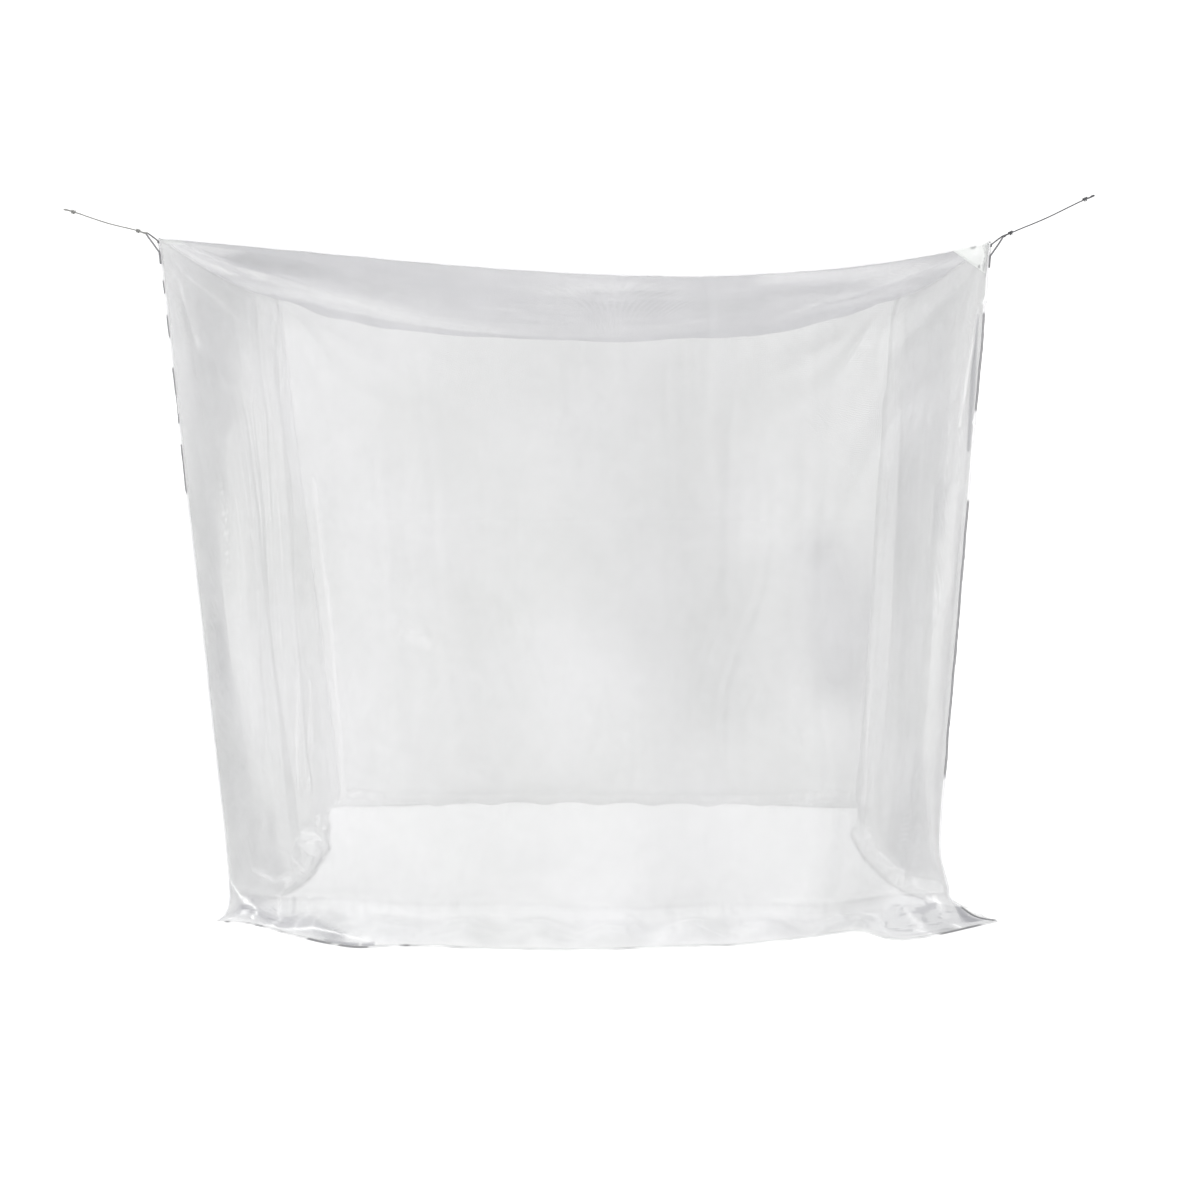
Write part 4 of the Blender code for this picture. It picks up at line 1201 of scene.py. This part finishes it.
def shade(seam, along, section, inner, stretches, seed):
    """Marks those stretches of a tape as dark with painted shade, from that far across it."""
    ragged = along + 0.012 * noise(along / 0.02, 7.5, seed)
    dark = sum(ease((ragged - top) / 0.01) * ease((low - ragged) / 0.01) for top, low in stretches)
    dark = dark[:, None] * (section[:, :, 0] > inner)
    mask = seam.data.attributes.new("shaded", "FLOAT", "POINT")
    mask.data.foreach_set("value", dark.astype(np.float32).ravel())


SEAM_TAPE = tape_section(0.0066, 0.0046)
for n, side in enumerate(SIDES):
    line = resampled(edge_line(side, np.linspace(0.0015, 0.9985, 400)), SEAM_STEP)
    along = np.arange(len(line)) * SEAM_STEP
    line[:, 2] += 0.0010 * noise(along / 0.07, 1.5, 101 + n)
    out = np.append(outward(side) * 0.8, -0.6)
    section = puckered(SEAM_TAPE, len(line), SEAM_STEP, 111 + n)
    seam = swept(f"{side}_roof_seam", line, out, section, "seam_tape")
    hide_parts(f"roof_seam_{side}")
    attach(seam, "canopy")

for n, corner in enumerate(SIGNS):
    side = next(side for side, ends in SIDES.items() if ends[0] == corner)
    hang = np.linspace(0.003, DROP - 0.06, 500)
    rows = np.concatenate((hang, np.linspace(DROP - 0.058, DROP + RUN, 80)))
    line = resampled(wall_points(side, np.array([0.0]), rows)[:, 0], SEAM_STEP)
    line[:, 2] = np.maximum(line[:, 2], ON_HEM + 0.0012)
    along = np.arange(len(line)) * SEAM_STEP
    out = np.append(np.array(SIGNS[corner]) / math.sqrt(2), 0.0)
    sway = 0.0016 * noise(along / 0.08, 4.5, 121 + n) * ease((along - 0.075) / 0.05)
    line[:, :2] += sway[:, None] * np.array((-out[1], out[0]))
    # The front corner seams' tape is darkened with painted shade.
    finish = "worn_tape" if corner.startswith("front") else "seam_tape"
    section = puckered(SEAM_TAPE, len(line), SEAM_STEP, 131 + n, free=0.115)
    for drop in THREAD_KNOTS.get(corner, ()):
        section *= (1 + 0.9 * hump(along - drop, 0.005))[:, None, None]
    seam = swept(f"{corner}_wall_seam", line, out, section, finish)
    if corner in SHADED_TAPE:
        shade(seam, along, section, *SHADED_TAPE[corner], 151 + n)
    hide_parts(f"corner_seam_{corner}")
    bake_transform(seam)


# The hem


HEM_TAPE = tape_section(0.0122, 0.0016)
for n, side in enumerate(SIDES):
    share = np.linspace(0.0, 1.0, int(side_length(side) / HEM_STEP))
    plan = fall_line(side, share) + hem_run(side, share)
    line = np.column_stack((plan, HEM_MIDDLE + hem_lift(side, share)))
    section = puckered(HEM_TAPE, len(line), HEM_STEP, 141 + n, 0.12)
    seam = swept(f"{side}_hem_tape", line, np.append(outward(side), 0.0), section, "hem_tape")
    if side == "front":
        shade(seam, share * side_length(side), section, -1.0, SHADED_HEM, 161)
    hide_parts(f"hem_{side}")
    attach(seam, "skirt")

for side, wall in walls.items():
    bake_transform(wall)


# Corner patches, sewn under the roof


def triangle(reach, steps=44):
    """Places on a right triangle with that long a pair of legs, by rows and columns."""
    one, share = np.meshgrid(np.linspace(0, 1, steps + 1), np.linspace(0, 1, steps + 1), indexing="ij")
    return np.stack((one * reach[0], (1 - one) * share * reach[1]), axis=2)


def corner_patch(corner):
    """A triangle of close cloth in a roof corner, crumpled where the corner is drawn up."""
    sign = SIGNS[corner]
    place = triangle((PATCH_REACH, PATCH_REACH))
    u = place[:, :, 0] / side_length("front")
    v = place[:, :, 1] / side_length("right")
    points = surface_at(u if sign[0] < 0 else 1 - u, v if sign[1] < 0 else 1 - v)
    points[:, :, 2] -= PATCH_BELOW
    x, y = place[:, :, 0], place[:, :, 1]
    inside = np.minimum(np.minimum(x, y), (PATCH_REACH - x - y) * 0.7)
    seed = 151 + sign[0] + 2 * sign[1]
    fold = PATCH_FOLD * (creases(x / 0.016 + 0.5 * sign[0], y / 0.021, seed) - 0.7)
    points[:, :, 2] -= np.maximum(fold + 0.0008, 0) * ease(inside / 0.010)
    return points, place


def turned_down(corner, reach):
    """The part of a corner patch that is turned down over the front wall."""
    place = triangle(reach)
    x, y = place[:, :, 0], place[:, :, 1]
    share = (x + FLAP_FROM_SEAM) / side_length("front")
    share = share if SIGNS[corner][0] < 0 else 1 - share
    points = np.empty((*x.shape, 3))
    for row in range(len(x)):
        column = wall_points("front", share[row], y[row])
        points[row] = column[np.arange(len(y[row])), np.arange(len(y[row]))]
    folds = creases(x / 0.019 + 0.6 * noise(x / 0.03, y / 0.03, 155), y / 0.030, 156, 0.03)
    last = (1 - x / reach[0] - y / reach[1]) * reach[1]
    rim = ease(np.minimum(np.minimum(x, y), last) / 0.006)
    points[:, :, :2] += (FLAP_OFF + FLAP_FOLD * folds * rim)[:, :, None] * outward("front")
    # painted shade in the flap's fold hollows and along its crests
    hollow, crest = ease((0.35 - folds) / 0.2), ease((folds - 0.93) / 0.03)
    return points, place, {"shaded": 0.75 * rim * hollow + 0.5 * rim * crest}


for corner in SIGNS:
    points, flat = corner_patch(corner)
    patch = cloth(f"{corner}_patch", points, flat, PATCH_CLOTH, "patch_cloth")
    if corner in TURNED_DOWN:
        points, flat, folds = turned_down(corner, TURNED_DOWN[corner])
        flap = cloth(f"{corner}_patch_flap", points, flat, PATCH_CLOTH, "patch_cloth", folds)
        patch = join([patch, flap], patch.name)
    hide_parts(f"corner_patch_{corner}")
    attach(patch, "canopy")
    over = np.prod(TURNED_DOWN.get(corner, (0.0, 0.0)))
    flat = (PATCH_REACH, PATCH_REACH + over / PATCH_REACH)


# Ribbon loops


STITCH_RADIUS = 0.0003
STITCH_GAP = 0.00045
STITCH_ARCH = 0.0002


def loop_place(corner):
    """The frame of a corner loop: its Z lies along the seam, and its X points outwards."""
    foot = Vector((*fall_corner(corner), KNEE))
    top = Vector(ROOF[corner])
    up = (top - foot).normalized()
    turn = math.atan2(SIGNS[corner][1], SIGNS[corner][0]) + math.radians(LOOP_TURN[corner])
    out = Vector((math.cos(turn), math.sin(turn), 0.0))
    out = (out - up * out.dot(up)).normalized()
    return Matrix.Translation(top) @ Matrix((out, up.cross(out), up)).transposed().to_4x4()


def placed(matrix, points):
    matrix = np.array(matrix)
    return np.asarray(points) @ matrix[:3, :3].T + matrix[:3, 3]


def loop_line():
    """The middle of a loop's ribbon, outwards from its seam and along it, in even steps."""
    centre = np.array((LOOP_REACH, LOOP_RISE))
    bend = CORD + CLEAR + RIBBON / 2
    lower, upper = np.array((LOOP_SEAT, LOWER_LEG[0])), np.array((LOOP_SEAT, UPPER_LEG[0]))
    starts = []
    for leg, way_round in ((lower, -1), (upper, 1)):
        way = centre - leg
        quarter = math.pi / 2 + math.asin(bend / np.hypot(*way))
        starts.append(math.atan2(way[1], way[0]) + way_round * quarter)
    turns = np.linspace(starts[0], starts[1], 15)
    arc = centre + np.column_stack((np.cos(turns), np.sin(turns))) * bend
    line = np.vstack(((LOOP_SEAT, LOWER_LEG[1]), lower, arc, upper, (LOOP_SEAT, UPPER_LEG[1])))
    reach = run_along(line)
    even = np.linspace(0, reach[-1], 200)
    fine = np.column_stack([np.interp(even, reach, line[:, k]) for k in range(2)])
    kernel = np.hanning(9) / np.hanning(9).sum()
    for k in range(2):
        padded = np.pad(fine[:, k], 4, mode="edge")
        fine[:, k] = np.convolve(padded, kernel, mode="valid")
    return np.column_stack((fine[:, 0], np.zeros(len(fine)), fine[:, 1]))


def bar_tack(centre, along, out, width):
    """A short row of tight stitches across a ribbon."""
    pieces = []
    across = np.cross(along, out)
    share = np.linspace(0, 1, 6)[:, None]
    arch = out * STITCH_ARCH * np.sin(math.pi * share)
    for k in range(7):
        start = centre + along * (k - 3) * STITCH_GAP - across * width / 2
        line = start + across * width * share + arch
        pieces.append(swept("stitch", line, out, ring(6) * STITCH_RADIUS, "ribbon"))
    return pieces


for n, corner in enumerate(SIGNS):
    place = loop_place(corner)
    line = loop_line()
    share = np.linspace(0, 1, len(line))
    reach = np.hypot(line[:, 0] - LOOP_REACH, line[:, 2] - LOOP_RISE)
    narrow = 1 - RIBBON_PINCH * hump(reach, 0.006)
    turns = np.linspace(-1, 1, 9)
    curl = RIBBON_CURL * hump(reach, 0.010)
    halves = []
    for side in (1, -1):
        across = turns[::-side] * RIBBON_WIDTH / 2 * narrow[:, None]
        height = side * RIBBON / 2 + curl[:, None] * turns**2
        halves.append(np.stack((across, height), axis=2))
    section = np.concatenate(halves, axis=1)
    wave = RIBBON_WAVE * noise(share * 7, 0.5, 161 + n)
    section[:, :, 1] += (wave * np.sin(math.pi * share))[:, None]
    turned = np.array(place)[:3, :3]
    ribbon = swept("ribbon", placed(place, line), turned[:, 1], section, "ribbon")
    tacks = []
    for at in TACKS:
        centre = placed(place, (LOOP_SEAT + RIBBON / 2 + 0.0001, 0.0, at))
        tacks += bar_tack(centre, turned[:, 2], turned[:, 0], RIBBON_WIDTH * 0.9)
    loop = join([ribbon, *tacks], f"{corner}_loop")
    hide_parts(f"corner_loop_{corner}")
    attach(loop, f"loop_{corner}")


# Cords


def carried(line, side):
    """A direction across a line that turns as little as it can along it."""
    way = unit(np.gradient(line, axis=0))
    start = np.cross(way[0], side)
    if np.linalg.norm(start) < 0.2:
        start = np.cross(way[0], (1.0, 0.3, 0.0))
    across = [unit(start)]
    for step in way[1:]:
        across.append(unit(across[-1] - step * across[-1].dot(step)))
    return np.array(across)


def twisted(name, line, finish):
    """A cord of three strands along a line."""
    line = resampled(line, CORD_STEP)
    along = np.arange(len(line)) * CORD_STEP
    turns = np.linspace(0, 2 * math.pi, CORD_SIDES, endpoint=False)
    twist = turns[None] + 2 * math.pi * along[:, None] / CORD_LAY
    size = CORD * (0.84 + 0.16 * np.abs(np.cos(1.5 * twist)) ** 0.7)
    section = ring(CORD_SIDES) * size[:, :, None]
    return swept(name, line, carried(line, (0.0, 0.0, 1.0)), section, finish)


def bight_and_wraps(half):
    """A cord's end as it is tied: round a bight of that half width, and then in turns round the cord."""
    around = 2 * CORD + WRAP_GAP
    bight = [
        (BIGHT - CLEAR, 0.0, 0.0),
        (5.8 * CORD, 0.0, 0.0),
        (4.4 * CORD, 0.45 * half, 0.0),
        (3.1 * CORD, 0.92 * half, 0.0),
        (1.2 * CORD, half, 0.0),
        (0.0, 0.72 * half, 0.0),
        (0.0, 0.0, 0.0),
        (0.0, -0.72 * half, 0.0),
        (1.2 * CORD, -half, 0.0),
        (4.0 * CORD, -half, 0.0),
        (7.7 * CORD, -0.5 * (half + around), 0.0),
        (WRAP_START, -around, 0.0),
    ]
    line = through(list(enumerate(bight)), np.linspace(0, len(bight) - 1, 120))
    turn = 2 * math.pi * np.linspace(0, WRAP_TURNS, 101)[1:]
    along = WRAP_START + WRAP_PITCH * turn / (2 * math.pi)
    wraps = np.column_stack((along, -around * np.cos(turn), around * np.sin(turn)))
    return np.vstack((line, wraps))


for corner, finish in (("front_left", "cord_light"), ("front_right", "cord_dark")):
    lean = math.asin(-loop_place(corner).col[0].z)
    turn = Matrix.Rotation(-(CORD_RISE[corner] + lean), 4, "Y")
    place = loop_place(corner) @ Matrix.Translation((LOOP_REACH, 0.0, LOOP_RISE)) @ turn
    route = np.array(CORD_ROUTE[corner]) + (BIGHT, 0.0, 0.0)
    run = placed(place, through(list(enumerate(route)), np.linspace(0, len(route) - 1, 160)))
    body = f"cord_body_{corner}"
    straight = twisted(f"{corner}_cord", run, finish)
    tie = twisted(f"{corner}_tie", placed(place, bight_and_wraps(TIE_HALF)), finish)
    end = route[-1] + (BIGHT, 0.0, 0.0)
    far = bight_and_wraps(EYE_HALF)
    far = np.column_stack((end[0] - far[:, 0], -far[:, 1], far[:, 2]))
    eye = twisted(f"{corner}_eye", placed(place, far), finish)
    for piece, cad in ((straight, "cord"), (tie, "cord_tie"), (eye, "cord_eye")):
        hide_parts(f"{cad}_{corner}")
        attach(piece, body)


# Floor, light and camera


WHITE = (1.0, 1.0, 1.0, 1.0)
FLOOR_SHADE = (0.96, 0.96, 0.96, 1.0)


def stage_floor():
    bpy.ops.mesh.primitive_plane_add(size=60, location=(0, 12, -0.0005))
    floor = bpy.context.object
    floor.name = "floor"
    made, tree = blank_material("pale floor")
    node(tree, "ShaderNodeOutputMaterial", {"Surface": dull(tree, FLOOR_SHADE, 0.9, 0.0)})
    floor.data.materials.append(made)


def put_in(name, data, place, turn):
    """Puts a lamp or the camera into the scene."""
    made = bpy.data.objects.new(name, data)
    bpy.context.scene.collection.objects.link(made)
    made.location = place
    made.rotation_euler = turn
    return made


def area_light(name, place, aim, size, power):
    light = bpy.data.lights.new(name, "AREA")
    light.shape = "RECTANGLE"
    light.size, light.size_y = size
    light.energy = power
    way = Vector(aim) - Vector(place)
    put_in(name, light, place, way.to_track_quat("-Z", "Y").to_euler())


def soft_sun(name, way, strength, degrees):
    light = bpy.data.lights.new(name, "SUN")
    light.energy = strength
    light.angle = math.radians(degrees)
    put_in(name, light, (0.0, 0.0, 0.0), Vector(way).to_track_quat("Z", "Y").to_euler())


def white_world(lighting, shown):
    """An even white surround that lights less than it shows."""
    world = bpy.data.worlds.new("white studio")
    bpy.context.scene.world = world
    world.use_nodes = True
    tree = world.node_tree
    tree.nodes.clear()
    soft = node(tree, "ShaderNodeBackground", {"Color": WHITE, "Strength": lighting})[0]
    white = node(tree, "ShaderNodeBackground", {"Color": WHITE, "Strength": shown})[0]
    camera_ray = node(tree, "ShaderNodeLightPath")["Is Camera Ray"]
    node(tree, "ShaderNodeOutputWorld", {"Surface": blended(tree, camera_ray, soft, white)})


stage_floor()
white_world(WORLD_LIGHT, WORLD_SHOWN)
soft_sun("high light", (-0.35, -0.45, 1.0), 1.5, 50)
area_light("key", (-3.4, -3.0, 3.4), (0, 0, 0.8), (2.6, 2.0), 45)

tilt = (math.radians(90 - CAMERA_DOWN), 0.0, math.radians(CAMERA_LEFT))
camera = put_in("camera", bpy.data.cameras.new("camera"), CAMERA_PLACE, tilt)
camera.data.sensor_width = SENSOR
camera.data.lens = LENS
bpy.context.scene.camera = camera
bpy.context.scene.view_settings.view_transform = "Standard"
bpy.context.scene.cycles.transparent_max_bounces = 48
